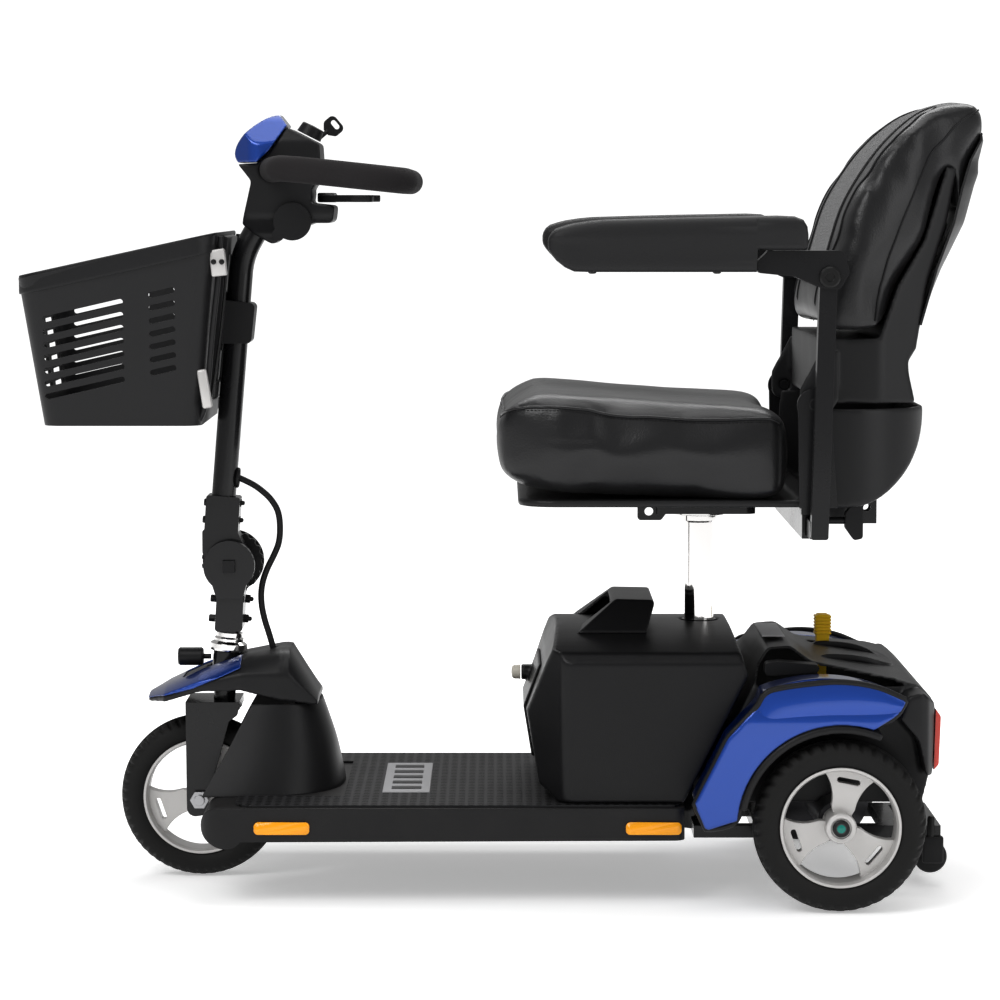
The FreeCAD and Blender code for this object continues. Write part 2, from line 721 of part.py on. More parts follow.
def hinge_lower():
    """The clamp on the steerer and the two toothed cheeks of the fold."""
    body = new_body("hinge_lower")
    x, z = size("foldX"), size("foldZ")
    lug = size("lugWidth") / 2
    block = outline((-330, 287, 4), (-298, 287, 4), (-296, 334, 3), (-327, 334, 3))
    pad(body, "XZ_Plane", block, "Sizes.lugWidth + 14", both=True)
    web = outline((-327, 326), (-297, 326), (x + 24, z - 8), (x - 24, z - 8))
    for side, thick, radius in ((1, 12.5, size("discRadius")), (-1, 7, 26)):
        pad(body, "XZ_Plane", web, thick, offset=side * (lug + 0.4), back=side < 0)
        pad(body, "XZ_Plane", circle(x, z, radius), thick, offset=side * (lug + 0.4), back=side < 0)
    cut(body, "XZ_Plane", circle(x, z, size("boltRadius") + 0.3), 200, both=True)
    tilt = Rotation(Vector(0, 1, 0), size("steerTilt"))
    bore = new_sketch(body, "XY_Plane", circle(0, 0, size("spindleRadius") + 0.1))
    bore.AttachmentOffset = Placement(Vector(size("steerX"), 0, size("steerZ")), tilt)
    hole = body.newObject("PartDesign::Pocket", "hinge_lower_bore")
    hole.Profile = bore
    hole.Length = 52.5
    hole.Reversed = True
    return body


def hinge_upper():
    """The lug between the cheeks, and the socket for the tiller tube."""
    body = new_body("hinge_upper")
    x, z = size("foldX"), size("foldZ")
    pad(body, "XZ_Plane", circle(x, z, size("lugRadius")), "Sizes.lugWidth", both=True)
    block = outline((x - 24, z), (x + 23, z + 6), (-303, 402, 3), (-344, 405, 3), (-344, 378, 6))
    pad(body, "XZ_Plane", block, "Sizes.lugWidth", both=True)
    sleeve = outline((-342, 398), (-303, 398), (-300, 442, 3), (-339, 445, 3))
    pad(body, "XZ_Plane", sleeve, "Sizes.lugWidth", both=True)
    cut(body, "XZ_Plane", circle(x, z, size("boltRadius") + 0.3), 200, both=True)
    foot = tubeStops[0]
    bore = new_sketch(body, "XY_Plane", circle(0, 0, size("tubeRadius") + 0.1))
    bore.AttachmentOffset = Placement(Vector(*foot), tubeTilt())
    hole = body.newObject("PartDesign::Pocket", "hinge_upper_socket")
    hole.Profile = bore
    hole.Length = 80
    hole.Reversed = True
    return body


def hinge_knob():
    """The large scalloped hand nut and its through bolt."""
    body = new_body("hinge_knob", at=(size("foldX"), 0, size("foldZ")))
    lug = size("lugWidth") / 2
    pad(body, "XZ_Plane", circle(0, 0, size("knobRadius")), 19, offset=-lug - 8.2, back=True)
    notch = cut(body, "XZ_Plane", circle(size("knobRadius") + 1.5, 0, 4), 80, both=True)
    repeat_round(body, [notch], "Y_Axis", 20)
    pad(body, "XZ_Plane", circle(0, 0, size("boltRadius")), 58, offset=-lug - 9)
    pad(body, "XZ_Plane", outline((-7, -7), (7, -7), (7, 7), (-7, 7)), 5, offset=lug + 13.4)
    return body


# ---- tiller ----

tubeStops = [(-324.6, 0, 387), (-297.2, 0, 720), (-268, 0, 772)]
tubeBend = [90]


def tubeTilt():
    along = Vector(*tubeStops[1]) - Vector(*tubeStops[0])
    return Rotation(Vector(0, 0, 1), along)


def tiller_tube():
    wire = route(tubeStops, tubeBend)
    return tube_along("tiller_tube", wire, size("tubeRadius"), size("tubeRadius") - size("tubeWall"))


barStops = [(-262, 0, 818), (-262, -52, 818), (-238, -196, 819.5), (-106, -190, 805.5),
            (-106, 0, 805.5)]
barRadii = [150, 46, 62]


def handlebar():
    """The closed loop handlebar with its cross bar through the head: two bent halves, welded."""
    half = tube_along("bar_left", route(barStops, barRadii), size("barRadius"))
    whole = doc.addObject("Part::Fuse", "handlebar")
    whole.Label = "handlebar"
    whole.Base = half
    whole.Tool = mirrored("bar_right", half)
    return whole


def grip():
    """The foam grip round the loop, from one side of the head to the other."""
    corner, bend = Vector(*barStops[1]), Vector(*barStops[2])
    start = corner + (bend - corner).normalize() * 34
    near = [tuple(start)] + barStops[2:4]
    far = [(x, -y, z) for x, y, z in reversed(near)]
    wire = route(near + far, barRadii[1:] + barRadii[:0:-1])
    return tube_along("grip", wire, size("gripRadius"), size("barRadius") + 0.05)


def head_housing():
    """The black head: tube socket, charger port boss, rear block and the sloping dash."""
    body = new_body("housing_blank")
    side = outline((-298, 825), (-283, 806, 8), (-294, 757), (-281, 745, 10), (-259, 733, 8),
                   (-246, 744), (-212, 758), (-190, 758, 6), (-188, 778, 4), (-212, 781),
                   (-214, 796), (-203, 812, 10), (-205, 848, 5), (-242, 867, 5), (-262, 838, 6),
                   (-276, 826))
    pad(body, "XZ_Plane", side, "Sizes.headWidth", both=True)
    half = size("headWidth") / 2
    front = outline((-30, 700), (30, 700), (30, 745, 8), (half, 765, 12), (half, 852, 10),
                    (36, 880), (-36, 880), (-half, 852, 10), (-half, 765, 12), (-30, 745, 8))
    trim(body, "YZ_Plane", front)
    cut(body, "XZ_Plane", circle(-262, 818, size("barRadius") + 0.3), 200, both=True)
    notch = outline((-215, 781), (-180, 777), (-180, 800), (-212, 800))
    cut(body, "XZ_Plane", notch, 200, both=True)
    room = tube_along("tube_room", route(tubeStops, tubeBend), size("tubeRadius") + 0.1)
    return finished("head_housing", body, room)


def head_cover():
    """The blue cap over the front and top of the head."""
    body = new_body("head_cover")
    side = outline((-298, 826.5), ("curve", (-302, 835), (-294, 855), (-277, 870.5), (-258, 880),
                                   (-251, 881)), (-242, 869), (-262.5, 839.5, 6), (-276, 827))
    pad(body, "XZ_Plane", side, "Sizes.coverWidth", both=True)
    half = size("coverWidth") / 2
    plan = outline((-310, -30, 20), (-280, -half, 20), (-236, -half + 6, 6), (-236, half - 6, 6),
                   (-280, half, 20), (-310, 30, 20))
    trim(body, "XY_Plane", plan)
    front = outline((-half, 820), (half, 820), (half, 846, 14), (30, 884, 30), (-30, 884, 30),
                    (-half, 846, 14))
    trim(body, "YZ_Plane", front)
    return body


def throttle():
    """The wig-wag lever: one blade with a paddle under each side of the grip."""
    body = new_body("throttle", at=(-199, 0, 0))
    thick = size("throttleThick")
    plan = outline((-9, -20, 6), (34, -128, 8), (56, -132, 8), (58, -104, 10), (12, -30, 10),
                   (12, 30, 10), (58, 104, 10), (56, 132, 8), (34, 128, 8), (-9, 20, 6))
    pad(body, "XY_Plane", plan, "Sizes.throttleThick", offset=782)
    pad(body, "XY_Plane", circle(0, 0, 11), 11, offset=781.6)
    return body


def key():
    """The ignition key: a flat bow on a round shank."""
    lean = Rotation(Vector(0, 1, 0), 50)
    body = new_body("key", at=(-212, 26, 853), turn=lean)
    pad(body, "XY_Plane", circle(0, 0, 2.5), 14, offset=3)
    bow = outline((-4, 14), (4, 14), (11, 20, 5), (11, 34, 6), (-11, 34, 6), (-11, 20, 5))
    pad(body, "XZ_Plane", bow, 3, both=True)
    cut(body, "XZ_Plane", oblong(0, 28, 12, 6), 20, both=True)
    return body


def speed_dial():
    """The round speed knob on the dash, with finger flutes."""
    lean = Rotation(Vector(0, 1, 0), 27)
    body = new_body("speed_dial", at=(-220, 0, 857), turn=lean)
    turn_profile(body, "XZ_Plane", outline((0, 0.6), (15, 0.6), (13, 13, 2), (0, 13.6)), "Z_Axis")
    return body


def charger_cap():
    """The swing-aside cap over the charger socket on the left of the head."""
    body = new_body("charger_cap")
    half = size("headWidth") / 2
    pad(body, "XZ_Plane", circle(-236, 760, size("capRadius")), 7, offset=half + 0.3)
    pad(body, "XZ_Plane", circle(-252, 745, 7), 7, offset=half + 0.3)
    return body


cableUpper = [(-302.6, -2, 464), (-289.5, -2, 458.5), (-276, -2, 449.5), (-263.5, -2, 437.5),
              (-255, -2, 421), (-255, -2, 405)]
cableLower = [(-255, -2, 405), (-255, -2, 391), (-262, -2, 374), (-271, -2, 357),
              (-277, -2, 338), (-277.5, -2, 318), (-273.5, -2, 298), (-267.5, -2, 280),
              (-263, -2, 263)]


def cables():
    """The control cable, from the tube's grommet to the nose, in its two halves."""
    pieces = []
    for label, stops in (("cable_upper", cableUpper), ("cable_lower", cableLower)):
        wire = route(stops)
        print(label, "radii", [round(radius, 1) for radius in bend_radii(stops)], "length",
              round(wire.Length, 1))
        pieces.append(tube_along(label, wire, size("cableRadius")))
        section = pi * size("cableRadius") ** 2
        print(label, "volume ratio", round(pieces[-1].Shape.Volume / (section * wire.Length), 4))
    return pieces


# ---- basket ----

def basket_tub(body, kind, grow, floor):
    """The basket's tapered form, grown outwards by `grow`, from the floor up past the rim."""
    def section(front, rear, half, corner):
        return outline((front - grow, -half - grow, corner), (rear + grow, -half - grow, corner),
                       (rear + grow, half + grow, corner), (front - grow, half + grow, corner))
    low = section(-510, -338, 126, 20)
    high = section(-544, -316, 164, 24)
    loft(body, [("XY_Plane", low, floor), ("XY_Plane", high, 760)], kind=kind, ruled=True)


def basket():
    """The tapered basket: thin walls, a rolled rim and rows of slanted slots."""
    body = new_body("basket")
    wall = size("basketWall")
    basket_tub(body, "AdditiveLoft", 2.5, 532)
    rim = outline((-560, 500), (-300, 500), (-300, 750), (-560, 692))
    trim(body, "XZ_Plane", rim)
    basket_tub(body, "SubtractiveLoft", 2.5 - wall, 532 + wall)
    long_slot = cut(body, "XZ_Plane", oblong(-464, 575, 92, size("basketSlot"), 13), 500, both=True)
    repeat_along(body, [long_slot], "Z_Axis", 6 * size("basketPitch"), 7)
    short_slot = cut(body, "XZ_Plane", oblong(-376, 595, 30, size("basketSlot"), 13), 500, both=True)
    repeat_along(body, [short_slot], "Z_Axis", 6 * size("basketPitch"), 7)
    for y in (-52, 52):
        front_slot = cut(body, "YZ_Plane", oblong(y, 572, 76, size("basketSlot")), 60, offset=-560)
        repeat_along(body, [front_slot], "Z_Axis", 6 * size("basketPitch"), 7)
    return body


def basket_mount():
    """The bracket on the tiller: a split clamp, an arm, and the wire hanger for the basket."""
    body = new_body("basket_mount")
    block = outline((-322, 620), (-286, 620, 6), (-281, 666, 6), (-317, 670))
    pad(body, "XZ_Plane", block, 46, both=True)
    plate = outline((-330.5, 560), (-325.5, 560), (-308, 742), (-312.5, 744))
    pad(body, "XZ_Plane", plate, 150, both=True)
    window = outline((-58, 575, 8), (58, 575, 8), (58, 612, 8), (-58, 612, 8))
    cut(body, "YZ_Plane", window, 100, offset=-360)
    upper = outline((-58, 678, 8), (58, 678, 8), (58, 722, 8), (-58, 722, 8))
    cut(body, "YZ_Plane", upper, 100, offset=-360)
    foot = tubeStops[0]
    bore = new_sketch(body, "XY_Plane", circle(0, 0, size("tubeRadius") + 0.1))
    bore.AttachmentOffset = Placement(Vector(*foot), tubeTilt())
    hole = body.newObject("PartDesign::Pocket", "basket_mount_bore")
    hole.Profile = bore
    hole.Length = 330
    hole.Reversed = True
    return body


# ---- battery pack ----

def case_side():
    return outline((30, 208), (52, 268, 8), (66, 300), (262, 304, 10), (277, 256, 6), (205, 113),
                   (66, 113), (44, 128))


def case_front():
    """The case seen from the front: upright sides, a chamfer and a crowned lid."""
    half = size("caseWidth") / 2
    return outline((-half, 100), (half, 100), (half, 270), (half - 10, 281),
                   ("arc", (0, 300), (10 - half, 281)), (-half, 270))


def battery_case():
    """The lift-off battery case: crowned lid, raked faces and a well for the seat mast."""
    body = new_body("battery_case")
    pad(body, "XZ_Plane", case_side(), "Sizes.caseWidth", both=True)
    half = size("caseWidth") / 2
    plan = outline((20, -96), (72, -half, 14), (290, -half, 10), (290, half, 10), (72, half, 14),
                   (20, 96))
    trim(body, "XY_Plane", plan)
    trim(body, "YZ_Plane", case_front())
    cut(body, "XY_Plane", circle(size("mastX"), 0, size("mastRadius") + 2), 300, offset=100)
    cut(body, "XY_Plane", outline((74, -160, 8), (190, -160, 8), (190, 160, 8), (74, 160, 8)),
        112, offset=100)
    return body


def battery_cells():
    """Two sealed lead-acid blocks side by side inside the case."""
    members = []
    for side in (-1, 1):
        block = doc.addObject("Part::Box", f"cell_{side}")
        block.Length, block.Width, block.Height = 99, 151, 95
        block.Placement.Base = Vector(82, side * 78 - 75.5, 114)
        members.append(block)
    return group("battery_cells", members)


def battery_handle():
    """The moulded carrying handle: a wedge-shaped hood, open at the front for the fingers."""
    body = new_body("battery_handle_hood")
    side = outline((72, 282), (132, 330, 4), (178, 329, 4), (162, 282))
    pad(body, "XZ_Plane", side, 200, both=True)
    trim(body, "YZ_Plane", outline((-100, 270), (100, 270), (98, 296), (66, 332), (-66, 332),
                                   (-98, 296)))
    cut(body, "XZ_Plane", outline((60, 270), (88, 286), (122, 318, 6), (148, 318, 6), (146, 270)),
        150, both=True)
    cut(body, "XZ_Plane", outline((60, 297), (108, 297), (130, 321), (116, 338), (60, 338)), 110,
        both=True)
    return finished("battery_handle", body, battery_mould("handle_seat"))


def battery_mould(label):
    """The case's outer form again, solid, for cutting neighbours to its surface."""
    body = new_body(label)
    pad(body, "XZ_Plane", case_side(), "Sizes.caseWidth", both=True)
    trim(body, "YZ_Plane", case_front())
    return body


def battery_panel():
    """The raised front panel with the charging inlet boss and its breaker button."""
    body = new_body("panel_blank")
    strip = outline((26.6, 208), (44.6, 256), (47.6, 256), (30, 208), (39.2, 150), (36.2, 150))
    pad(body, "XZ_Plane", strip, 150, both=True)
    trim(body, "YZ_Plane", outline((-75, 140, 14), (75, 140, 14), (75, 270, 14), (-75, 270, 14)))
    pad(body, "YZ_Plane", circle(40, 232, 9), 12, offset=25)
    return finished("battery_panel", body, battery_mould("panel_seat"))


# ---- seat ----

def seat_post():
    """The chrome height post with its top flange."""
    body = new_body("seat_post", at=(size("mastX"), 0, 0))
    r, top = size("postRadius"), size("postTop")
    profile = outline((0, 150), (r, 150), (r, top - 14), (21, top - 12), (21, top - 6), (30, top - 5),
                      (30, top), (0, top))
    turn_profile(body, "XZ_Plane", profile, "Z_Axis")
    return body


def swivel_plate():
    """The rotating seat plate with the drilled tie-down tab on its left."""
    body = new_body("swivel_plate")
    plan = outline((178, -66, 6), (292, -66, 12), (292, 66, 12), (178, 66, 6))
    pad(body, "XY_Plane", plan, 9, offset="Sizes.postTop + 0.3")
    pad(body, "XZ_Plane", outline((157, 420, 4), (184, 420, 4), (196, 436), (172, 436), (157, 440)),
        5, offset=57)
    cut(body, "XZ_Plane", circle(170, 430, 5), 20, offset=50)
    spacer = outline((180, -50), (280, -50), (280, 50), (180, 50))
    pad(body, "XY_Plane", spacer, 9, offset="Sizes.postTop + 9")
    return body


def swivel_lever():
    """The sprung swivel release under the right side of the seat."""
    body = new_body("swivel_lever", at=(302, 50, 0))
    plan = outline((-6, -6, 4), (6, -6, 4), (8, 100), (14, 150, 5), (0, 152, 5), (-5, 100))
    pad(body, "XY_Plane", plan, 4, offset=438)
    return body


def tub_plan(wall=0):
    """The seat shell from above, with broad rear corners, moved inwards by the wall."""
    half = size("tubWidth") / 2 - wall
    rear = 476 - wall
    return outline((20 + wall, -half, 40), (rear, -half, 96 - wall), (rear, half, 96 - wall),
                   (20 + wall, half, 40))


def seat_pan():
    """The moulded seat shell: a flat pan with a deep rounded tub behind."""
    body = new_body("pan_blank")
    side = outline((20, 446), (340, 446), (386, 446), ("curve", (413, 452), (432, 464), (456, 490),
                   (469, 516), (475, 555)), (340, 555), (330, 454), (20, 454))
    pad(body, "XZ_Plane", side, "Sizes.tubWidth", both=True)
    trim(body, "XY_Plane", tub_plan())
    room = new_body("tub_room")
    inside = outline((352, 451), (386, 451), ("curve", (411, 457), (429, 469), (451.5, 494),
                     (464, 518), (470, 557)), (300, 557), (300, 456), (352, 456))
    pad(room, "XZ_Plane", inside, "Sizes.tubWidth", both=True)
    trim(room, "XY_Plane", tub_plan(5))
    return finished("seat_pan", body, room)


def seat_cushion():
    """The seat pad as a plain closed form."""
    body = new_body("seat_cushion")
    side = outline((-12, 486), (-2, 476), (60, 467), (200, 459), (326, 455), (326, 548),
                   (200, 555), (60, 566), ("curve", (30, 568), (0, 560), (-13, 536)))
    pad(body, "XZ_Plane", side, "Sizes.seatWidth", both=True)
    half = size("seatWidth") / 2
    plan = outline((-13, -half + 20, 50), (60, -half, 60), (326, -half + 6, 20),
                   (326, half - 6, 20), (60, half, 60), (-13, half - 20, 50))
    trim(body, "XY_Plane", plan)
    return body


def seat_hinges():
    """The two steel hinge plates with their pins, outside the seat tub."""
    body = new_body("seat_hinges")
    x, z = size("backHingeX"), size("backHingeZ")
    plate = outline((x - 16, 447), (x + 26, 447), (x + 18, z - 8), ("arc", (x, z + 18), (x - 18, z - 8)))
    for side in (-1, 1):
        pad(body, "XZ_Plane", plate, "Sizes.plateThick", both=True, offset=f"Sizes.hingeY * {side}")
        pad(body, "XZ_Plane", circle(x, z, 6), 17, both=True, offset=side * 209)
    cross = outline((x - 14, 439.8), (x + 14, 439.8), (x + 14, 445.8), (x - 14, 445.8))
    pad(body, "XZ_Plane", cross, 429, both=True)
    for side in (-1, 1):
        foot = outline((x - 14, 441), (x + 14, 441), (x + 14, 449), (x - 14, 449))
        pad(body, "XZ_Plane", foot, "Sizes.plateThick", both=True, offset=f"Sizes.hingeY * {side}")
    return body


def back_side():
    return outline((351, 641), ("curve", (358, 685), (372, 732), (386, 776), (403, 806), (424, 836),
                   (453, 866), (480, 886), (511, 895.5)), ("arc", (545, 892), (549, 876)),
                   ("curve", (538, 852), (524, 828), (514, 800), (503, 757), (484, 708),
                    (463, 634)), (352, 634))


def back_plan():
    """The back seen from above: it tapers rearwards, so it clears the handlebar as it swivels."""
    half = size("backWidth") / 2
    return outline((300, -half), (392, -half, 20), (470, -half + 27, 30), (560, -half + 84, 20),
                   (560, half - 84, 20), (470, half - 27, 30), (392, half, 20), (300, half))


def back_front():
    half = size("backWidth") / 2
    return outline((-half, 500), (half, 500), (half, 800), ("curve", (half - 10, 850),
                   (half - 45, 885), (half - 110, 897), (0, 900), (110 - half, 897),
                   (45 - half, 885), (10 - half, 850), (-half, 800)))


def shell_side():
    return outline((352, 560, 6), (461.5, 560), (454, 592), (453, 606), (462, 620), (474, 690),
                   (497, 760), (508, 820), (496, 822), (470, 740), (440, 690), (418, 632), (352, 632))


def back_shell():
    """The moulded backrest shell: a wide foot in the tub and a tapered spine up the back."""
    body = new_body("back_shell")
    pad(body, "XZ_Plane", shell_side(), "Sizes.shellWidth", both=True)
    trim(body, "XY_Plane", outline((340, -186, 16), (420, -182, 30), (560, -110), (560, 110),
                                   (420, 182, 30), (340, 186, 16)))
    ears = outline((329, 545, 12), (360, 545, 12), (372, 565), (372, 620), (352, 620), (329, 577, 12))
    for side in (-1, 1):
        pad(body, "XZ_Plane", ears, 6, both=True, offset=side * 203)
        link = outline((353, 580), (371, 580), (371, 618), (353, 618))
        pad(body, "XZ_Plane", link, 24, both=True, offset=side * 192)
    cut(body, "XZ_Plane", circle(size("backHingeX"), size("backHingeZ"), 6.3), 500, both=True)
    return body


def back_cushion():
    """The padded back as a plain closed form, hollowed where the shell goes up inside it."""
    body = new_body("back_cushion")
    pad(body, "XZ_Plane", back_side(), "Sizes.backWidth", both=True)
    trim(body, "XY_Plane", back_plan())
    trim(body, "YZ_Plane", back_front())
    pocket = outline((380, 620), (466, 620), (476, 690), (499, 760), (512, 826), (490, 826),
                     (466, 742), (434, 690), (412, 632), (380, 632))
    cut(body, "XZ_Plane", pocket, 376, both=True)
    return body


def arm_receiver():
    """The square cross tube under the seat that takes both armrests, and the rear socket."""
    body = new_body("arm_receiver")
    x, z, wide = size("receiverX"), size("receiverZ") - 6, size("receiverSize") / 2
    square = outline((x - wide, z - wide), (x + wide, z - wide), (x + wide, z + wide),
                     (x - wide, z + wide))
    pad(body, "XZ_Plane", square, 380, both=True)
    socket = outline((-15, 412), (15, 412), (15, 442), (-15, 442))
    pad(body, "YZ_Plane", socket, 74, offset=x + wide - 1)
    inner = size("armBar") / 2 + 0.6
    bore = outline((x - inner, z - inner), (x + inner, z - inner), (x + inner, z + inner),
                   (x - inner, z + inner))
    for side in (1, -1):
        cut(body, "XZ_Plane", bore, 170, offset=side * 30, back=side < 0)
    cut(body, "YZ_Plane", outline((-12, 415), (12, 415), (12, 439), (-12, 439)), 68,
        offset=x + wide + 10)
    cut(body, "XZ_Plane", circle(424, 430, 4.5), 80, both=True)
    return body


def arm_knobs():
    """The two clamping screws with T grips behind the cross tube."""
    members = []
    z = size("receiverZ") - 6
    for side in (-1, 1):
        body = new_body(f"arm_knob_{side}", at=(0, side * 120, z))
        pad(body, "YZ_Plane", circle(0, 0, 4), 30, offset=size("receiverX") + 14.1)
        grip_side = outline((388, -8, 4), (398, -22, 4), (408, -20, 4), (408, 20, 4),
                            (398, 22, 4), (388, 8, 4))
        pad(body, "XZ_Plane", grip_side, 14, both=True)
        members.append(body)
    return group("arm_knobs", members)


def arm_post():
    """The left armrest's upright with its welded foot bar and the pivot pin."""
    body = new_body("arm_post_left")
    bar, y, z = size("armBar"), size("armY"), size("receiverZ") - 6
    x, half = size("receiverX"), size("armBar") / 2
    post = outline((x - half, z - half, 3), (x + half, z - half, 3), (366, 716, 8), (347, 716, 8))
    pad(body, "XZ_Plane", post, "Sizes.armBar", both=True, offset=y)
    foot = outline((x - half, z - half), (x + half, z - half), (x + half, z + half),
                   (x - half, z + half))
    pad(body, "XZ_Plane", foot, y - 84, offset=84)
    pad(body, "XZ_Plane", circle(size("armPivotX"), size("armPivotZ"), 4), 32, both=True, offset=y)
    return body


def arm_bar():
    """The left steel channel that carries the pad and flips up on the pivot pin."""
    body = new_body("arm_bar_left")
    y, x, z = size("armY"), size("armPivotX"), size("armPivotZ")
    side = outline((278, 718, 3), (290, 730), (372, 730, 8), (378, 706, 6), (368, 688, 6),
                   (346, 690, 8), (318, 702, 20), (278, 706, 4))
    pad(body, "XZ_Plane", side, "Sizes.armBar + 8", both=True, offset=y)
    slot = outline((326, 670), (400, 670), (400, 710), (374, 726.5, 4), (326, 726.5, 4))
    cut(body, "XZ_Plane", slot, "Sizes.armBar + 1.2", both=True, offset=y)
    cut(body, "XZ_Plane", circle(x, z, 4.3), 60, both=True, offset=y)
    return body


def arm_pad():
    """The left armrest pad: a moulded form with a chamfered nose and a seat for the channel."""
    body = new_body("arm_pad_left")
    side = outline((52, 742, 8), (60, 752, 8), (112, 763, 40), (318, 768, 14), (332, 752, 10),
                   (331, 731), (277, 731), (277, 707), (74, 707, 6), (57, 724, 8))
    pad(body, "XZ_Plane", side, "Sizes.padWidth", both=True, offset=size("armY") + 4)
    y, half = size("armY") + 4, size("padWidth") / 2
    trim(body, "XY_Plane", outline((52, -y - half, 14), (340, -y - half, 12), (340, -y + half, 12),
                                   (52, -y + half, 14)))
    return body


# ---- the whole scooter ----

turnFront = (size("frontWheelX"), 0, size("frontTyreRadius"))
pieces = [main_frame(), deck_pan(), deck_mat(), tower(), nose_cover(), nose_trim(), headset(),
          steering_lock(), reflectors(), rear_frame(), drive_unit(), rear_shroud(), fenders(),
          frame_latch(), freewheel_lever(), antitip_wheels(), fork(), front_axle(),
          hinge_lower(), hinge_upper(), hinge_knob(), tiller_tube(), handlebar(), grip(),
          head_housing(), head_cover(), throttle(), key(), speed_dial(), charger_cap(), basket(),
          basket_mount(), battery_case(), battery_cells(), battery_handle(), battery_panel(),
          seat_post(), swivel_plate(), swivel_lever(), seat_pan(), seat_cushion(), seat_hinges(),
          back_shell(), back_cushion(), arm_receiver(), arm_knobs()]
pieces += cables()
pieces += [wheel_rim("front_rim", turnFront, size("axleRadius") + 0.2),
           tyre("front_tyre", turnFront, size("frontTyreRadius"))]
for side, name in ((-1, "left"), (1, "right")):
    place = (size("rearWheelX"), side * size("rearWheelY"), size("rearTyreRadius"))
    pieces.append(wheel_rim("rear_rim_" + name, place, size("halfShaftRadius") + 0.2))
    pieces.append(tyre("rear_tyre_" + name, place, size("rearTyreRadius")))
for left in (arm_post(), arm_bar(), arm_pad()):
    pieces += [left, mirrored(left.Name.replace("left", "right"), left)]

doc.recompute()
os.makedirs("parts", exist_ok=True)
faults = [f"{obj.Name}: {obj.State}" for obj in doc.Objects
          if "Invalid" in obj.State or "Error" in obj.State]
faults += [f"{piece.Label}: bad shape" for piece in pieces
           if piece.Shape.isNull() or not piece.Shape.isValid()]
if faults:
    raise SystemExit("not built: " + "; ".join(faults))
for piece in pieces:
    piece.Shape.exportStep(f"parts/{piece.Label}.step")
print(len(pieces), "pieces written")
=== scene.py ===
import json
from math import cos, pi, radians, sin

import bmesh
import bpy
import numpy as np
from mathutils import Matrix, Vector
from mathutils.bvhtree import BVHTree


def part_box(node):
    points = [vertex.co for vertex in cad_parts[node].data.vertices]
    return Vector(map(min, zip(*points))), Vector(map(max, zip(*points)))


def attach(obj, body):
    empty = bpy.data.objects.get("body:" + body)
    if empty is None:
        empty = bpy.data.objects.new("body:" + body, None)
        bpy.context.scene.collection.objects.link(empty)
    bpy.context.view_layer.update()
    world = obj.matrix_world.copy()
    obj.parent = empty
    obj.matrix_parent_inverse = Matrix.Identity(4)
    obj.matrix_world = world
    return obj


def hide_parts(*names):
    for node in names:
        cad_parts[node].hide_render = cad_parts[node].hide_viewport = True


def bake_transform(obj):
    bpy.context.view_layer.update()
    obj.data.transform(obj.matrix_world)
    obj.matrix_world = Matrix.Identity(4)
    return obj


# A three-wheeled travel mobility scooter. The front is -X, the rider's left -Y, and Z is up.
# Places are written in millimetres and brought to metres by mm().

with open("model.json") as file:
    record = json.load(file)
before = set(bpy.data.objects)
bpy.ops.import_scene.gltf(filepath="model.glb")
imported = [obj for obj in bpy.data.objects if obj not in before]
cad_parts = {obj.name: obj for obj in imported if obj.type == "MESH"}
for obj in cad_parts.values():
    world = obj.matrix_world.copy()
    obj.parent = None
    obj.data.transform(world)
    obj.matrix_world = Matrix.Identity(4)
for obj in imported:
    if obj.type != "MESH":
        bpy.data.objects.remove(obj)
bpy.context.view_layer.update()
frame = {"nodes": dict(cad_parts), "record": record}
nodes = frame["nodes"]
scene = bpy.context.scene
print("stage: frame loaded,", len(nodes), "nodes")


# Mesh helpers.

def mm(values):
    return np.array(values, float) / 1000


def unit(vectors):
    return vectors / np.linalg.norm(vectors, axis=-1, keepdims=True)


# A smooth line through the points: each span is the cubic that leaves and arrives along the
# chord between its neighbours.
def smoothLine(points, count):
    p = np.array(points, float)
    p = np.vstack([2 * p[:1] - p[1:2], p, 2 * p[-1:] - p[-2:-1]])
    place = np.linspace(0, len(p) - 3 - 1e-9, count)
    i = place.astype(int)
    t = (place - i)[:, None]
    a, b, c, d = p[i], p[i + 1], p[i + 2], p[i + 3]
    return 0.5 * (2 * b + (c - a) * t + (2 * a - 5 * b + 4 * c - d) * t ** 2
                  + (3 * b - a - 3 * c + d) * t ** 3)


def tidied(name, mesh, sharp=35, weld=1e-6):
    work = bmesh.new()
    work.from_mesh(mesh)
    bmesh.ops.remove_doubles(work, verts=work.verts, dist=weld)
    bmesh.ops.dissolve_degenerate(work, dist=1e-7, edges=work.edges)
    bmesh.ops.recalc_face_normals(work, faces=work.faces)
    work.to_mesh(mesh)
    work.free()
    mesh.shade_smooth()
    mesh.set_sharp_from_angle(angle=radians(sharp))
    piece = bpy.data.objects.new(name, mesh)
    scene.collection.objects.link(piece)
    return piece


# The corner numbers of each quad of a grid; a ring joins its last column to its first.
def quadsOf(rows, cols, ring=True, loop=False):
    index = np.arange(rows * cols).reshape(rows, cols)
    if ring:
        index = np.hstack([index, index[:, :1]])
    if loop:
        index = np.vstack([index, index[:1]])
    quads = np.stack([index[:-1, :-1], index[:-1, 1:], index[1:, 1:], index[1:, :-1]], -1)
    return quads.reshape(-1, 4)


def surface(name, grid, ring=True, loop=False, sharp=35):
    quads = quadsOf(*grid.shape[:2], ring, loop)
    mesh = bpy.data.meshes.new(name)
    mesh.from_pydata(grid.reshape(-1, 3).tolist(), [], quads.tolist())
    return tidied(name, mesh, sharp)


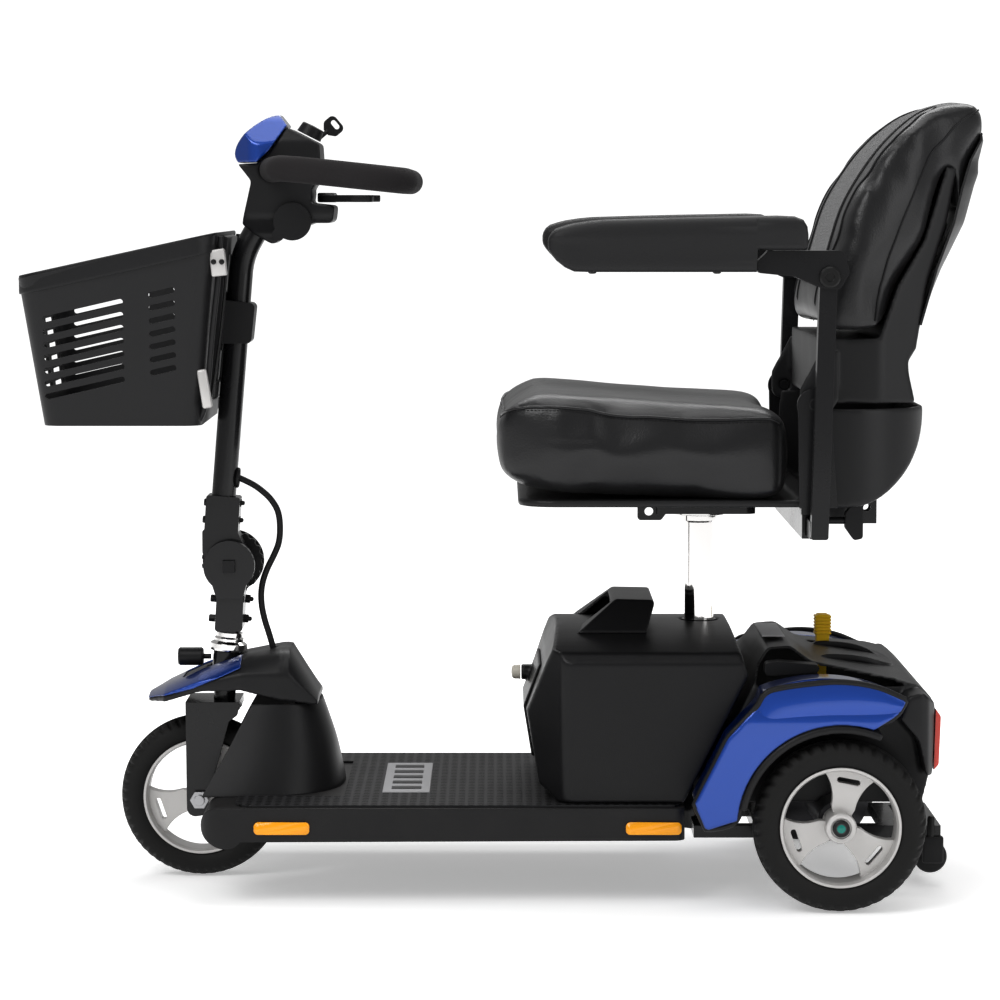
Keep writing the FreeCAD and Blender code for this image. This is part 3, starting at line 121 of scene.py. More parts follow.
# Two skins as one ring whose end rows are drawn to one point each.
def pinched(outer, inner):
    ring = np.concatenate([outer, inner[:, ::-1]], 1)
    ends = [np.repeat(ring[[row]].mean(1, keepdims=True), ring.shape[1], 1) for row in (0, -1)]
    return np.concatenate([ends[0], ring, ends[1]])


# Two skins as one ring whose end rows fold flat onto the line midway between the skins.
def folded(outer, inner):
    ring = np.concatenate([outer, inner[:, ::-1]], 1)
    ends = [(ring[[row]] + ring[[row]][:, ::-1]) / 2 for row in (0, -1)]
    return np.concatenate([ends[0], ring, ends[1]])


def roundSection(radius, sides=16):
    turn = np.linspace(0, 2 * pi, sides, endpoint=False)
    return np.stack([np.cos(turn), np.sin(turn)], 1) * radius


# A rounded rectangle: a circle whose cosine and sine are raised to a small power.
def boxSection(width, height, power=0.35, sides=28):
    turn = np.linspace(0, 2 * pi, sides, endpoint=False)
    c, s = np.cos(turn), np.sin(turn)
    return np.stack([np.sign(c) * np.abs(c) ** power * width / 2,
                     np.sign(s) * np.abs(s) ** power * height / 2], 1)


# A section carried along a path and closed at both ends.
def carry(name, path, section, across=(0, 1, 0), loop=False, sharp=35):
    path = np.array(path, float)
    section = np.array(section, float)
    if loop:
        ahead = unit(np.roll(path, -1, 0) - np.roll(path, 1, 0))
    else:
        ahead = unit(np.gradient(path, axis=0))
    side = unit(np.cross(ahead, across))
    rise = np.cross(side, ahead)
    grid = (path[:, None] + side[:, None] * section[None, :, :1]
            + rise[:, None] * section[None, :, 1:])
    if not loop:
        ends = np.repeat(path[[0, -1], None], len(section), 1)
        grid = np.concatenate([ends[:1], grid, ends[1:]])
    return surface(name, grid, loop=loop, sharp=sharp)


# A profile of (along, radius) points turned round an axis; it starts and ends on the axis.
def lathe(name, profile, centre, axis=(0, 1, 0), sides=56, sharp=35):
    profile = mm(profile)
    axis = unit(np.array(axis, float))
    helper = np.array((0, 0, 1.0)) if abs(axis[2]) < 0.9 else np.array((1.0, 0, 0))
    side = unit(np.cross(axis, helper))
    rise = np.cross(axis, side)
    turn = np.linspace(0, 2 * pi, sides, endpoint=False)
    out = np.cos(turn)[:, None] * side + np.sin(turn)[:, None] * rise
    grid = mm(centre) + profile[:, None, :1] * axis + profile[:, None, 1:] * out[None]
    return surface(name, grid, sharp=sharp)


# A box with rounded edges, turned about Y by an angle in degrees.
def block(name, low, high, ease=1.5, lean=0.0):
    low, high = mm(low), mm(high)
    work = bmesh.new()
    bmesh.ops.create_cube(work, size=1)
    bmesh.ops.scale(work, vec=Vector(high - low), verts=work.verts)
    bmesh.ops.bevel(work, geom=work.edges[:], offset=ease / 1000, segments=3, profile=0.5,
                    affect="EDGES")
    mesh = bpy.data.meshes.new(name)
    work.to_mesh(mesh)
    work.free()
    spots = pointsOf(mesh)
    a = radians(lean)
    turned = np.stack([spots[:, 0] * cos(a) + spots[:, 2] * sin(a), spots[:, 1],
                       spots[:, 2] * cos(a) - spots[:, 0] * sin(a)], 1)
    setPoints(mesh, turned + (low + high) / 2)
    return tidied(name, mesh)


def pointsOf(mesh):
    flat = np.empty(len(mesh.vertices) * 3)
    mesh.vertices.foreach_get("co", flat)
    return flat.reshape(-1, 3)


def normalsOf(mesh):
    flat = np.empty(len(mesh.vertices) * 3)
    mesh.vertices.foreach_get("normal", flat)
    return flat.reshape(-1, 3)


def setPoints(mesh, spots):
    mesh.vertices.foreach_set("co", np.ascontiguousarray(spots, float).ravel())
    mesh.update()


def copyOf(name, node, sharp=35):
    mesh = nodes[node].data.copy()
    mesh.materials.clear()
    return tidied(name, mesh, sharp, weld=2e-5)


def applied(piece):
    graph = bpy.context.evaluated_depsgraph_get()
    made = bpy.data.meshes.new_from_object(piece.evaluated_get(graph))
    piece.modifiers.clear()
    old = piece.data
    piece.data = made
    bpy.data.meshes.remove(old)
    return piece


def joined(name, parts):
    work = bmesh.new()
    for part in parts:
        work.from_mesh(part.data)
        bpy.data.objects.remove(part)
    mesh = bpy.data.meshes.new(name)
    work.to_mesh(mesh)
    work.free()
    mesh.shade_smooth()
    mesh.set_sharp_from_angle(angle=radians(35))
    piece = bpy.data.objects.new(name, mesh)
    scene.collection.objects.link(piece)
    return piece


def place(piece, body, material, slot, *replaced):
    piece.data.materials.clear()
    piece.data.materials.append(material)
    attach(piece, body)
    if replaced:
        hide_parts(*replaced)
    return piece


sideName = {-1: "Left", 1: "Right"}


def bothSides(make):
    for side in sideName:
        make(side)


# Camera, light and floor.

cameraView = {"back": 4.1, "height": 0.787, "lens": 127.8, "sensor": 36, "down": 4.868}
cameraData = bpy.data.cameras.new("camera")
cameraData.sensor_width = cameraView["sensor"]
cameraData.lens = cameraView["lens"]
camera = bpy.data.objects.new("camera", cameraData)
camera.location = (0, -cameraView["back"], cameraView["height"])
camera.rotation_euler = (radians(90 - cameraView["down"]), 0, 0)
scene.collection.objects.link(camera)
scene.camera = camera

studio = {"keyPower": 40, "fillPower": 14, "rimPower": 26, "skyStrength": 0.42,
          "skyColor": (1, 1, 1, 1), "floorColor": (0.9, 0.9, 0.9, 1), "floorGlow": 0.42,
          "farGlow": 0.8, "glowFrom": 0.6, "glowTo": 2.0, "gamma": 0.82}


def softLight(name, at, aim, size, power):
    light = bpy.data.lights.new(name, "AREA")
    light.shape = "RECTANGLE"
    light.size, light.size_y = size
    light.energy = power
    lamp = bpy.data.objects.new(name, light)
    lamp.location = at
    lamp.rotation_euler = (Vector(aim) - Vector(at)).to_track_quat("-Z", "Y").to_euler()
    scene.collection.objects.link(lamp)


softLight("keyLight", (-1.3, -1.9, 2.5), (0, 0, 0.4), (1.6, 1.6), studio["keyPower"])
softLight("fillLight", (2.2, -1.7, 1.3), (0.1, 0, 0.4), (1.2, 2.0), studio["fillPower"])
softLight("rimLight", (0.2, 2.0, 2.3), (0, 0, 0.4), (3.0, 0.8), studio["rimPower"])
softLight("topLight", (0.1, 0.1, 2.8), (0, 0, 0), (2.2, 1.6), studio["rimPower"])
world = bpy.data.worlds.new("studio")
world.use_nodes = True
scene.world = world
sky = world.node_tree.nodes["Background"]
sky.inputs["Color"].default_value = studio["skyColor"]
# The sky is white where the camera looks and dimmer where it lights the scooter.
seen = world.node_tree.nodes.new("ShaderNodeLightPath")
level = world.node_tree.nodes.new("ShaderNodeMapRange")
level.inputs["To Min"].default_value = studio["skyStrength"]
level.inputs["To Max"].default_value = 1.1
world.node_tree.links.new(seen.outputs["Is Camera Ray"], level.inputs["Value"])
world.node_tree.links.new(level.outputs[0], sky.inputs["Strength"])
scene.view_settings.view_transform = "Standard"
scene.view_settings.gamma = studio["gamma"]

# The floor is a flat grid, wide enough to reach past the camera from any side.
floorReach = 7.0
along = np.linspace(-floorReach, floorReach, 24)
floorGrid = np.stack([*np.meshgrid(along, along, indexing="ij"), np.zeros((24, 24))], -1)
floor = surface("floor", floorGrid, ring=False)
print("stage: camera, lights and floor")


# Shader groups.

# A value goes to a socket as a link if it is a socket itself, and else as a constant.
def wire(tree, inputs, values):
    for socket, value in values.items():
        if isinstance(value, bpy.types.NodeSocket):
            tree.links.new(value, inputs[socket])
        else:
            inputs[socket].default_value = value


def addNode(tree, kind, inputs=None, **settings):
    made = tree.nodes.new("ShaderNode" + kind)
    for name, value in settings.items():
        setattr(made, name, value)
    wire(tree, made.inputs, inputs or {})
    return made


def mixColor(tree, factor, *colors):
    a, b = (color if isinstance(color, bpy.types.NodeSocket) else (*color, 1) for color in colors)
    return addNode(tree, "Mix", {"Factor": factor, "A": a, "B": b},
                   data_type="RGBA").outputs["Result"]


def objectSpot(tree):
    return addNode(tree, "TexCoord").outputs["Object"]


def makeGroup(name, inputs, outputs):
    group = bpy.data.node_groups.new(name, "ShaderNodeTree")
    for label, kind, value in inputs:
        socket = group.interface.new_socket(label, in_out="INPUT", socket_type="NodeSocket" + kind)
        if value is not None:
            socket.default_value = value
    for label, kind in outputs:
        group.interface.new_socket(label, in_out="OUTPUT", socket_type="NodeSocket" + kind)
    ends = [group.nodes.new("NodeGroup" + end) for end in ("Input", "Output")]
    return group, ends[0].outputs, ends[1].inputs


def mathNode(tree, operation, a, b=0.0):
    return addNode(tree, "Math", {0: a, 1: b}, operation=operation).outputs[0]


# Edge wear: where the eased normal leaves the flat one there is an edge, broken up by noise.
def edgeGroup():
    group, given, out = makeGroup("edgeWear", [("Radius", "Float", 0.0015)],
                                  [("Mask", "Float"), ("Normal", "Vector")])
    eased = addNode(group, "Bevel", {"Radius": given["Radius"]}, samples=4).outputs["Normal"]
    flatNormal = addNode(group, "NewGeometry").outputs["Normal"]
    dot = addNode(group, "VectorMath", {0: eased, 1: flatNormal}, operation="DOT_PRODUCT")
    away = mathNode(group, "SUBTRACT", 1.0, dot.outputs["Value"])
    spot = objectSpot(group)
    patch = addNode(group, "TexNoise", {"Vector": spot, "Scale": 90.0, "Detail": 4.0}).outputs[0]
    worn = mathNode(group, "MULTIPLY", away, patch)
    mask = addNode(group, "MapRange", {"Value": worn, "From Min": 0.02, "From Max": 0.16})
    group.links.new(mask.outputs[0], out["Mask"])
    group.links.new(eased, out["Normal"])
    return group


# Grain: fine noise plus a cell pattern, turned into a bump over the normal that comes in.
def grainGroup():
    group, given, out = makeGroup(
        "grain", [("Scale", "Float", 900.0), ("Depth", "Float", 0.2), ("Cells", "Float", 0.0),
                  ("Normal", "Vector", None)], [("Value", "Float"), ("Normal", "Vector")])
    spot = objectSpot(group)
    fine = addNode(group, "TexNoise", {"Vector": spot, "Scale": given["Scale"], "Detail": 3.0})
    cell = addNode(group, "TexVoronoi", {"Vector": spot, "Scale": given["Scale"]},
                   feature="SMOOTH_F1")
    value = addNode(group, "Mix", {"Factor": given["Cells"], "A": fine.outputs[0],
                                   "B": cell.outputs["Distance"]}).outputs[0]
    bump = addNode(group, "Bump", {"Strength": given["Depth"], "Distance": 0.0004,
                                   "Height": value, "Normal": given["Normal"]})
    group.links.new(value, out["Value"])
    group.links.new(bump.outputs[0], out["Normal"])
    return group


# Dust: faces that look up, times soft noise, with more near the floor.
def dustGroup():
    group, given, out = makeGroup("dust", [("Amount", "Float", 0.1)], [("Mask", "Float")])
    up = addNode(group, "SeparateXYZ", {0: addNode(group, "NewGeometry").outputs["Normal"]})
    spot = objectSpot(group)
    height = addNode(group, "SeparateXYZ", {0: spot}).outputs["Z"]
    low = addNode(group, "MapRange", {"Value": height, "From Min": 0.25, "From Max": 0.0,
                                      "To Min": 0.35, "To Max": 1.0}).outputs[0]
    cloud = addNode(group, "TexNoise", {"Vector": spot, "Scale": 22.0, "Detail": 6.0}).outputs[0]
    face = addNode(group, "MapRange", {"Value": up.outputs["Z"], "From Min": -0.4,
                                       "From Max": 1.0}).outputs[0]
    mask = mathNode(group, "MULTIPLY", mathNode(group, "MULTIPLY", face, cloud),
                    mathNode(group, "MULTIPLY", low, given["Amount"]))
    group.links.new(mask, out["Mask"])
    return group


# Weave: two sets of ribs at right angles, each a sine of one coordinate; the higher one shows.
def weaveGroup():
    group, given, out = makeGroup(
        "weave", [("Pitch", "Float", 0.0016), ("Depth", "Float", 0.5), ("Normal", "Vector", None)],
        [("Value", "Float"), ("Normal", "Vector")])
    spot = addNode(group, "SeparateXYZ", {0: objectSpot(group)})
    rate = mathNode(group, "DIVIDE", 2 * pi, given["Pitch"])
    ribs = [mathNode(group, "SINE", mathNode(group, "MULTIPLY", spot.outputs[axis], rate))
            for axis in ("Y", "Z")]
    value = mathNode(group, "MAXIMUM", mathNode(group, "MULTIPLY", ribs[0], ribs[1]), 0.0)
    bump = addNode(group, "Bump", {"Strength": given["Depth"], "Distance": 0.0006,
                                   "Height": value, "Normal": given["Normal"]})
    group.links.new(value, out["Value"])
    group.links.new(bump.outputs[0], out["Normal"])
    return group


edgeWear, grain, dust, weave = edgeGroup(), grainGroup(), dustGroup(), weaveGroup()


def useGroup(tree, group, inputs):
    made = tree.nodes.new("ShaderNodeGroup")
    made.node_tree = group
    wire(tree, made.inputs, inputs)
    return made.outputs


def newMaterial(name):
    material = bpy.data.materials.new(name)
    material.use_nodes = True
    return material, material.node_tree, material.node_tree.nodes["Principled BSDF"].inputs


# A bump laid over whatever normal the material has so far.
def bumpOver(tree, shader, strength, distance, height):
    under = shader["Normal"].links[0].from_socket
    bump = addNode(tree, "Bump", {"Strength": strength, "Distance": distance, "Height": height,
                                  "Normal": under})
    tree.links.new(bump.outputs[0], shader["Normal"])


# Materials.

dustColor = (0.30, 0.28, 0.26)
plain = {"color": (0.02, 0.02, 0.02), "rough": 0.4, "metal": 0.0, "coat": 0.0, "grain": 900.0,
         "depth": 0.15, "cells": 0.0, "edge": 0.0012, "wear": 0.15, "wornColor": (0.12, 0.12, 0.12),
         "dust": 0.03, "vary": 0.06, "specular": 0.3}

finishes = {
    "fairingBlack": {"color": (0.016, 0.016, 0.017), "rough": 0.36, "depth": 0.22, "edge": 0.0022},
    "deckBlack": {"color": (0.013, 0.013, 0.014), "rough": 0.42, "depth": 0.3, "edge": 0.003,
                  "dust": 0.14},
    "caseBlack": {"color": (0.012, 0.012, 0.013), "rough": 0.3, "depth": 0.3, "edge": 0.003},
    "frameBlack": {"color": (0.010, 0.010, 0.011), "rough": 0.26, "coat": 0.3, "grain": 380.0,
                   "depth": 0.08},
    "basketBlack": {"color": (0.017, 0.017, 0.018), "rough": 0.38, "depth": 0.2, "edge": 0.001},
    "shellBlack": {"color": (0.020, 0.020, 0.021), "rough": 0.33, "depth": 0.1, "edge": 0.003},
    "padBlack": {"color": (0.020, 0.020, 0.021), "rough": 0.5, "grain": 520.0, "depth": 0.35,
                 "cells": 0.7, "edge": 0.002},
    "knobBlack": {"color": (0.013, 0.013, 0.014), "rough": 0.42, "depth": 0.2},
    "cableBlack": {"color": (0.011, 0.011, 0.012), "rough": 0.5, "depth": 0.1},
    "bolt": {"color": (0.42, 0.42, 0.43), "rough": 0.3, "metal": 1.0, "depth": 0.1, "wear": 0.3},
    "darkBolt": {"color": (0.03, 0.03, 0.03), "rough": 0.3, "metal": 0.6, "depth": 0.1},
    "chrome": {"color": (0.80, 0.79, 0.78), "rough": 0.07, "metal": 1.0, "depth": 0.02,
               "edge": 0.0008, "wear": 0.0, "vary": 0.03},
    "rimSilver": {"color": (0.56, 0.55, 0.54), "rough": 0.34, "metal": 0.35, "depth": 0.12,
                  "edge": 0.0016, "wear": 0.1, "wornColor": (0.75, 0.75, 0.74)},
    "driveGrey": {"color": (0.07, 0.07, 0.075), "rough": 0.45, "metal": 0.5, "dust": 0.2},
    "cellGrey": {"color": (0.10, 0.10, 0.11), "rough": 0.5},
    "leverYellow": {"color": (0.80, 0.52, 0.02), "rough": 0.42, "wornColor": (0.75, 0.55, 0.1)},
    "lampRed": {"color": (0.60, 0.05, 0.03), "rough": 0.12, "coat": 0.6, "grain": 420.0,
                "depth": 0.5, "cells": 1.0},
    "amber": {"color": (0.95, 0.40, 0.006), "rough": 0.14, "coat": 0.6, "grain": 420.0,
              "depth": 0.6, "cells": 1.0},
    "offWhite": {"color": (0.62, 0.59, 0.52), "rough": 0.35},
    "plateGrey": {"color": (0.40, 0.40, 0.41), "rough": 0.45, "depth": 0.3, "dust": 0.15},
    "teal": {"color": (0.01, 0.22, 0.18), "rough": 0.25, "coat": 0.5},
}


# Moulded or metal parts: eased edges that wear paler, fine grain, dust, and patchy roughness.
def mouldedMaterial(name, given):
    look = {**plain, **given}
    material, tree, shader = newMaterial(name)
    edge = useGroup(tree, edgeWear, {"Radius": look["edge"]})
    skin = useGroup(tree, grain, {"Scale": look["grain"], "Depth": look["depth"],
                                  "Cells": look["cells"], "Normal": edge["Normal"]})
    film = useGroup(tree, dust, {"Amount": look["dust"]})["Mask"]
    worn = mathNode(tree, "MULTIPLY", edge["Mask"], look["wear"])
    base = mixColor(tree, worn, look["color"], look["wornColor"])
    patch = addNode(tree, "TexNoise", {"Vector": objectSpot(tree), "Scale": 14.0, "Detail": 5.0})
    rough = addNode(tree, "MapRange", {"Value": patch.outputs[0],
                                       "To Min": look["rough"] - look["vary"],
                                       "To Max": look["rough"] + look["vary"]}).outputs[0]
    wire(tree, shader, {"Base Color": mixColor(tree, film, base, dustColor),
                        "Roughness": mathNode(tree, "ADD", rough,
                                              mathNode(tree, "MULTIPLY", film, 0.5)),
                        "Normal": skin["Normal"], "Metallic": look["metal"],
                        "Coat Weight": look["coat"], "Coat Roughness": 0.08,
                        "Specular IOR Level": look["specular"]})
    return material


made = {name: mouldedMaterial(name, look) for name, look in finishes.items()}

vinylLook = {"color": (0.012, 0.012, 0.013), "rough": 0.34, "grain": 620.0, "depth": 0.5,
             "sheen": 0.04, "specular": 0.5}


# Vinyl: close cells pressed in, over broad soft creases, with a little sheen.
def vinylMaterial(name, look):
    material = mouldedMaterial(name, {**look, "cells": 0.8, "edge": 0.001, "wear": 0.0})
    tree = material.node_tree
    shader = tree.nodes["Principled BSDF"].inputs
    crease = addNode(tree, "TexNoise", {"Vector": objectSpot(tree), "Scale": 26.0, "Detail": 3.0,
                                        "Distortion": 1.2}).outputs[0]
    bumpOver(tree, shader, 0.25, 0.002, crease)
    shader["Sheen Weight"].default_value = look["sheen"]
    return material


made["vinyl"] = vinylMaterial("vinyl", vinylLook)

clothLook = {"color": (0.060, 0.060, 0.064), "rough": 0.75, "pitch": 0.0034, "depth": 0.9}


# Mesh cloth: the weave's ribs lift the surface, and the colour is painted lighter on the ribs and
# darker between them, as painted highlight and shade.
def clothMaterial(name, look):
    material, tree, shader = newMaterial(name)
    normal = addNode(tree, "NewGeometry").outputs["Normal"]
    ribs = useGroup(tree, weave, {"Pitch": look["pitch"], "Depth": look["depth"],
                                  "Normal": normal})
    # The colour between the ribs is painted darker, as painted shade in the weave's hollows.
    dark = [channel * 0.35 for channel in look["color"]]
    wire(tree, shader, {"Base Color": mixColor(tree, ribs["Value"], dark, look["color"]),
                        "Normal": ribs["Normal"], "Roughness": look["rough"],
                        "Sheen Weight": 0.3})
    return material


made["meshCloth"] = clothMaterial("meshCloth", clothLook)
matLook = {"color": (0.026, 0.026, 0.028), "rough": 0.5, "dust": 0.06, "pitch": 0.0108,
           "studColor": (0.002, 0.002, 0.002)}


# Deck mat: round studs where the product of two cosines, turned by 45 degrees, is high.
def matMaterial(name, look):
    material = mouldedMaterial(name, look)
    tree = material.node_tree
    shader = tree.nodes["Principled BSDF"].inputs
    spot = addNode(tree, "SeparateXYZ", {0: objectSpot(tree)}).outputs
    ways = [mathNode(tree, kind, spot["X"], spot["Y"]) for kind in ("ADD", "SUBTRACT")]
    waves = [mathNode(tree, "COSINE", mathNode(tree, "MULTIPLY", way, pi / look["pitch"]))
             for way in ways]
    stud = mathNode(tree, "MULTIPLY", *waves)
    height = addNode(tree, "MapRange", {"Value": stud, "From Min": 0.1, "From Max": 0.5}).outputs[0]
    ground = shader["Base Color"].links[0].from_socket
    bumpOver(tree, shader, 1.0, 0.002, height)
    tree.links.new(mixColor(tree, height, ground, look["studColor"]), shader["Base Color"])
    return material


made["mat"] = matMaterial("mat", matLook)
made["smoothMat"] = mouldedMaterial("smoothMat", {**matLook, "rough": 0.36})
made["foam"] = mouldedMaterial("foam", {"color": (0.022, 0.020, 0.021), "rough": 0.85,
                                        "grain": 700.0, "depth": 0.8, "cells": 0.9, "dust": 0.02})
made["tyre"] = mouldedMaterial("tyre", {"color": (0.014, 0.014, 0.014), "rough": 0.62,
                                        "grain": 500.0, "depth": 0.4, "dust": 0.07,
                                        "specular": 0.25})

paintLook = {"color": (0.001, 0.060, 0.36), "deep": (0.0005, 0.014, 0.12), "flake": 0.45,
             "flakeSize": 2600.0, "edge": 0.002, "rough": 0.3, "coatRough": 0.04}


# Metallic paint: the colour deepens towards grazing, small flakes tilt the normal, clear coat
# over them.
def paintMaterial(name, look):
    material, tree, shader = newMaterial(name)
    edge = useGroup(tree, edgeWear, {"Radius": look["edge"]})
    facing = addNode(tree, "LayerWeight", {"Blend": 0.45}).outputs["Facing"]
    chips = addNode(tree, "TexVoronoi", {"Vector": objectSpot(tree), "Scale": look["flakeSize"]})
    bump = addNode(tree, "Bump", {"Strength": 0.06, "Distance": 0.0003,
                                  "Height": chips.outputs["Distance"], "Normal": edge["Normal"]})
    wire(tree, shader, {"Base Color": mixColor(tree, facing, look["color"], look["deep"]),
                        "Normal": bump.outputs[0], "Coat Normal": edge["Normal"],
                        "Metallic": look["flake"], "Roughness": look["rough"],
                        "Coat Weight": 1.0, "Coat Roughness": look["coatRough"]})
    return material


made["bluePaint"] = paintMaterial("bluePaint", paintLook)

floorPaint = mouldedMaterial("floorPaint", {"color": studio["floorColor"][:3], "rough": 0.6,
                                            "grain": 60.0, "depth": 0.02, "edge": 0.0001,
                                            "wear": 0.0, "dust": 0.0})
# The floor glows more with distance from the scooter, so that it meets the sky unseen.
floorTree = floorPaint.node_tree
away = addNode(floorTree, "VectorMath", {0: objectSpot(floorTree)}, operation="LENGTH")
glow = addNode(floorTree, "MapRange", {"Value": away.outputs["Value"],
                                       "From Min": studio["glowFrom"],
                                       "From Max": studio["glowTo"],
                                       "To Min": studio["floorGlow"],
                                       "To Max": studio["farGlow"]})
wire(floorTree, floorTree.nodes["Principled BSDF"].inputs,
     {"Emission Color": (1, 1, 1, 1), "Emission Strength": glow.outputs[0]})
floor.data.materials.append(floorPaint)

slotFinish = {
    "frame_black": "frameBlack", "deck_black": "deckBlack", "mat_black": "mat",
    "fairing_black": "fairingBlack", "trim_blue": "bluePaint", "chrome": "chrome",
    "amber_red_lens": "amber", "drive_grey": "driveGrey", "lever_yellow": "leverYellow",
    "roller_black": "knobBlack", "rim_silver": "rimSilver", "tyre": "tyre",
    "bolt_steel": "bolt", "knob_black": "knobBlack", "cable_black": "cableBlack",
    "foam": "foam", "basket_black": "basketBlack", "case_black": "caseBlack",
    "cell_grey": "cellGrey", "seat_vinyl": "vinyl", "shell_black": "shellBlack",
    "pad_black": "padBlack"}


def dress(node, material):
    slots = nodes[node].material_slots
    if not slots:
        nodes[node].data.materials.append(material)
    for slot in slots:
        slot.material = material


for subpart in frame["record"]["subparts"]:
    dress(subpart["node"], made[slotFinish[subpart["material_slot"]]])
print("stage: materials", len(made))


# Control cable.

cableRadius = 0.0036
cableUpper = mm([(-302.6, -2, 464), (-289.5, -2, 458.5), (-276, -2, 449.5), (-263.5, -2, 437.5),
                 (-255, -2, 421), (-255, -2, 405)])
cableLower = mm([(-255, -2, 405), (-255, -2, 391), (-262, -2, 374), (-271, -2, 357),
                 (-277, -2, 338), (-277.5, -2, 318), (-273.5, -2, 298), (-267.5, -2, 280),
                 (-263, -2, 263)])


def cablePiece(name, stops, node):
    curve = bpy.data.curves.new(name, "CURVE")
    curve.dimensions = "3D"
    curve.resolution_u = 12
    spline = curve.splines.new("NURBS")
    spline.points.add(len(stops) - 1)
    for point, stop in zip(spline.points, stops):
        point.co = (*stop, 1)
    spline.order_u = 3
    spline.use_endpoint_u = True
    line = bpy.data.objects.new(name + "Line", curve)
    scene.collection.objects.link(line)
    mesh = bpy.data.meshes.new_from_object(line)
    path = pointsOf(mesh)
    bpy.data.objects.remove(line)
    piece = carry(name, path, roundSection(cableRadius, 20))
    piece.data.materials.append(made["cableBlack"])
    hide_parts(node)
    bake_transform(piece)


cablePiece("cableUpper", cableUpper, "cable_upper")
cablePiece("cableLower", cableLower, "cable_lower")
print("stage: cable")


# Wheels.

tyreLook = {"lugDepth": 2.4, "slant": 0.9, "around": 552}


# A tyre's radius is its crown profile, less a groove where a slanted wave of the angle is low.
def tyrePiece(name, centre, radius, body, node, lugs):
    half, seat, corner = 24.5, 67.2, 14.0
    bow = np.linspace(0, pi / 2, 9)
    side = np.concatenate([[(-half + 5, seat)], [(-half + 1, seat + 5)],
                           np.stack([-half + corner * (1 - np.sin(bow[::-1])) ,
                                     radius - 1.6 - corner + corner * np.cos(bow[::-1])], 1)])
    crownAcross = np.linspace(-half + corner, half - corner, 13)[1:-1]
    crown = np.stack([crownAcross, radius - 1.6 * (crownAcross / half) ** 2 * 4], 1)
    section = np.concatenate([side, crown, side[::-1] * (-1, 1)])
    turn = np.linspace(0, 2 * pi, tyreLook["around"], endpoint=False)[:, None]
    across, high = section[None, :, 0], section[None, :, 1]
    wave = np.sin(turn * lugs + np.abs(across) / half * tyreLook["slant"] * pi)
    shoulder = np.clip((high - (radius - 11)) / 7, 0, 1) * np.clip(np.abs(across) / 7 - 0.6, 0, 1)
    groove = np.clip(-wave * 3 - 0.6, 0, 1) * shoulder
    rib = np.exp(-((np.abs(across) - 5.5) / 1.0) ** 2) * np.clip((high - (radius - 4)) / 2, 0, 1)
    reach = high - tyreLook["lugDepth"] * np.maximum(groove, rib)
    reach = np.maximum(reach, seat)
    grid = np.stack([centre[0] + reach * np.cos(turn), centre[1] + across + 0 * turn,
                     centre[2] + reach * np.sin(turn)], -1) / 1000
    piece = surface(name, grid, loop=True, sharp=45)
    return place(piece, body, made["tyre"], "tyre", node)


wheelSpots = {"front": ((-347, 0, 94), 93.9, "front_wheel", "front_tyre", 52),
              "rearLeft": ((375, -219, 96), 95.9, "rear_wheel_left", "rear_tyre_left", 40),
              "rearRight": ((375, 219, 96), 95.9, "rear_wheel_right", "rear_tyre_right", 40)}
for wheelName, (centre, radius, body, node, lugs) in wheelSpots.items():
    tyrePiece(wheelName + "Tyre", centre, radius, body, node, lugs)


# A hub boss with a dark nut, and a teal cap on the outer face of a driven wheel.
def hubPiece(name, centre, side, body):
    x, y, z = centre
    ring = lathe(name + "Ring", [(0, 0), (0, 17.5), (3.2, 16.5), (4, 15), (3.5, 11.5), (1.5, 11),
                                 (1.5, 0)], (x, y + side * 22, z), (0, side, 0))
    place(ring, body, made["rimSilver"], "rim_silver")
    nut = lathe(name + "Nut", [(0, 0), (0, 9.5), (3.5, 9.5), (4.6, 8.2), (4.6, 6), (3.4, 5.6),
                               (3.4, 0)], (x, y + side * 22.5, z), (0, side, 0))
    place(nut, "root", made["darkBolt"], "bolt_steel")
    cap = lathe(name + "Cap", [(0, 0), (0, 5.2), (1.4, 4.6), (2, 3), (2.2, 0)],
                (x, y + side * 25.9, z), (0, side, 0))
    place(cap, "root", made["teal"], "knob_black")


for side, tag in sideName.items():
    centre, radius, body, *rest = wheelSpots["rear" + tag]
    hubPiece("hub" + tag, centre, side, body)
print("stage: wheels")


# Padded pieces.

# A seam presses a narrow valley along a line: depth falls off as a bell over the distance.
def pressSeam(piece, line, width, depth):
    mesh = piece.data
    spots, normals = pointsOf(mesh), normalsOf(mesh)
    near = np.full(len(spots), 1e9)
    for start, end in zip(line[:-1], line[1:]):
        run = end - start
        share = np.clip((spots - start) @ run / (run @ run + 1e-12), 0, 1)
        near = np.minimum(near, np.linalg.norm(spots - (start + share[:, None] * run), axis=1))
    fall = depth * np.exp(-(near / width) ** 2)
    setPoints(mesh, spots - normals * fall[:, None])


# The nearest places on a piece, lifted along its normals.
def onSurface(piece, line, lift=0.0):
    tree = BVHTree.FromObject(piece, bpy.context.evaluated_depsgraph_get())
    hits = [tree.find_nearest(Vector(point)) for point in line]
    return np.array([hit[0] + hit[1] * lift for hit in hits])


def evenly(line, spacing):
    reach = np.concatenate([[0], np.cumsum(np.linalg.norm(np.diff(line, axis=0), axis=1))])
    marks = np.linspace(0, reach[-1], max(int(reach[-1] / spacing), 2))
    return np.stack([np.interp(marks, reach, line[:, axis]) for axis in range(3)], 1)


cushionSim = {"voxel": 0.006, "pressure": 4.0, "steps": 20, "shrink": 0.008, "ease": 26,
              "quality": 4, "stretch": 30, "bend": 8}


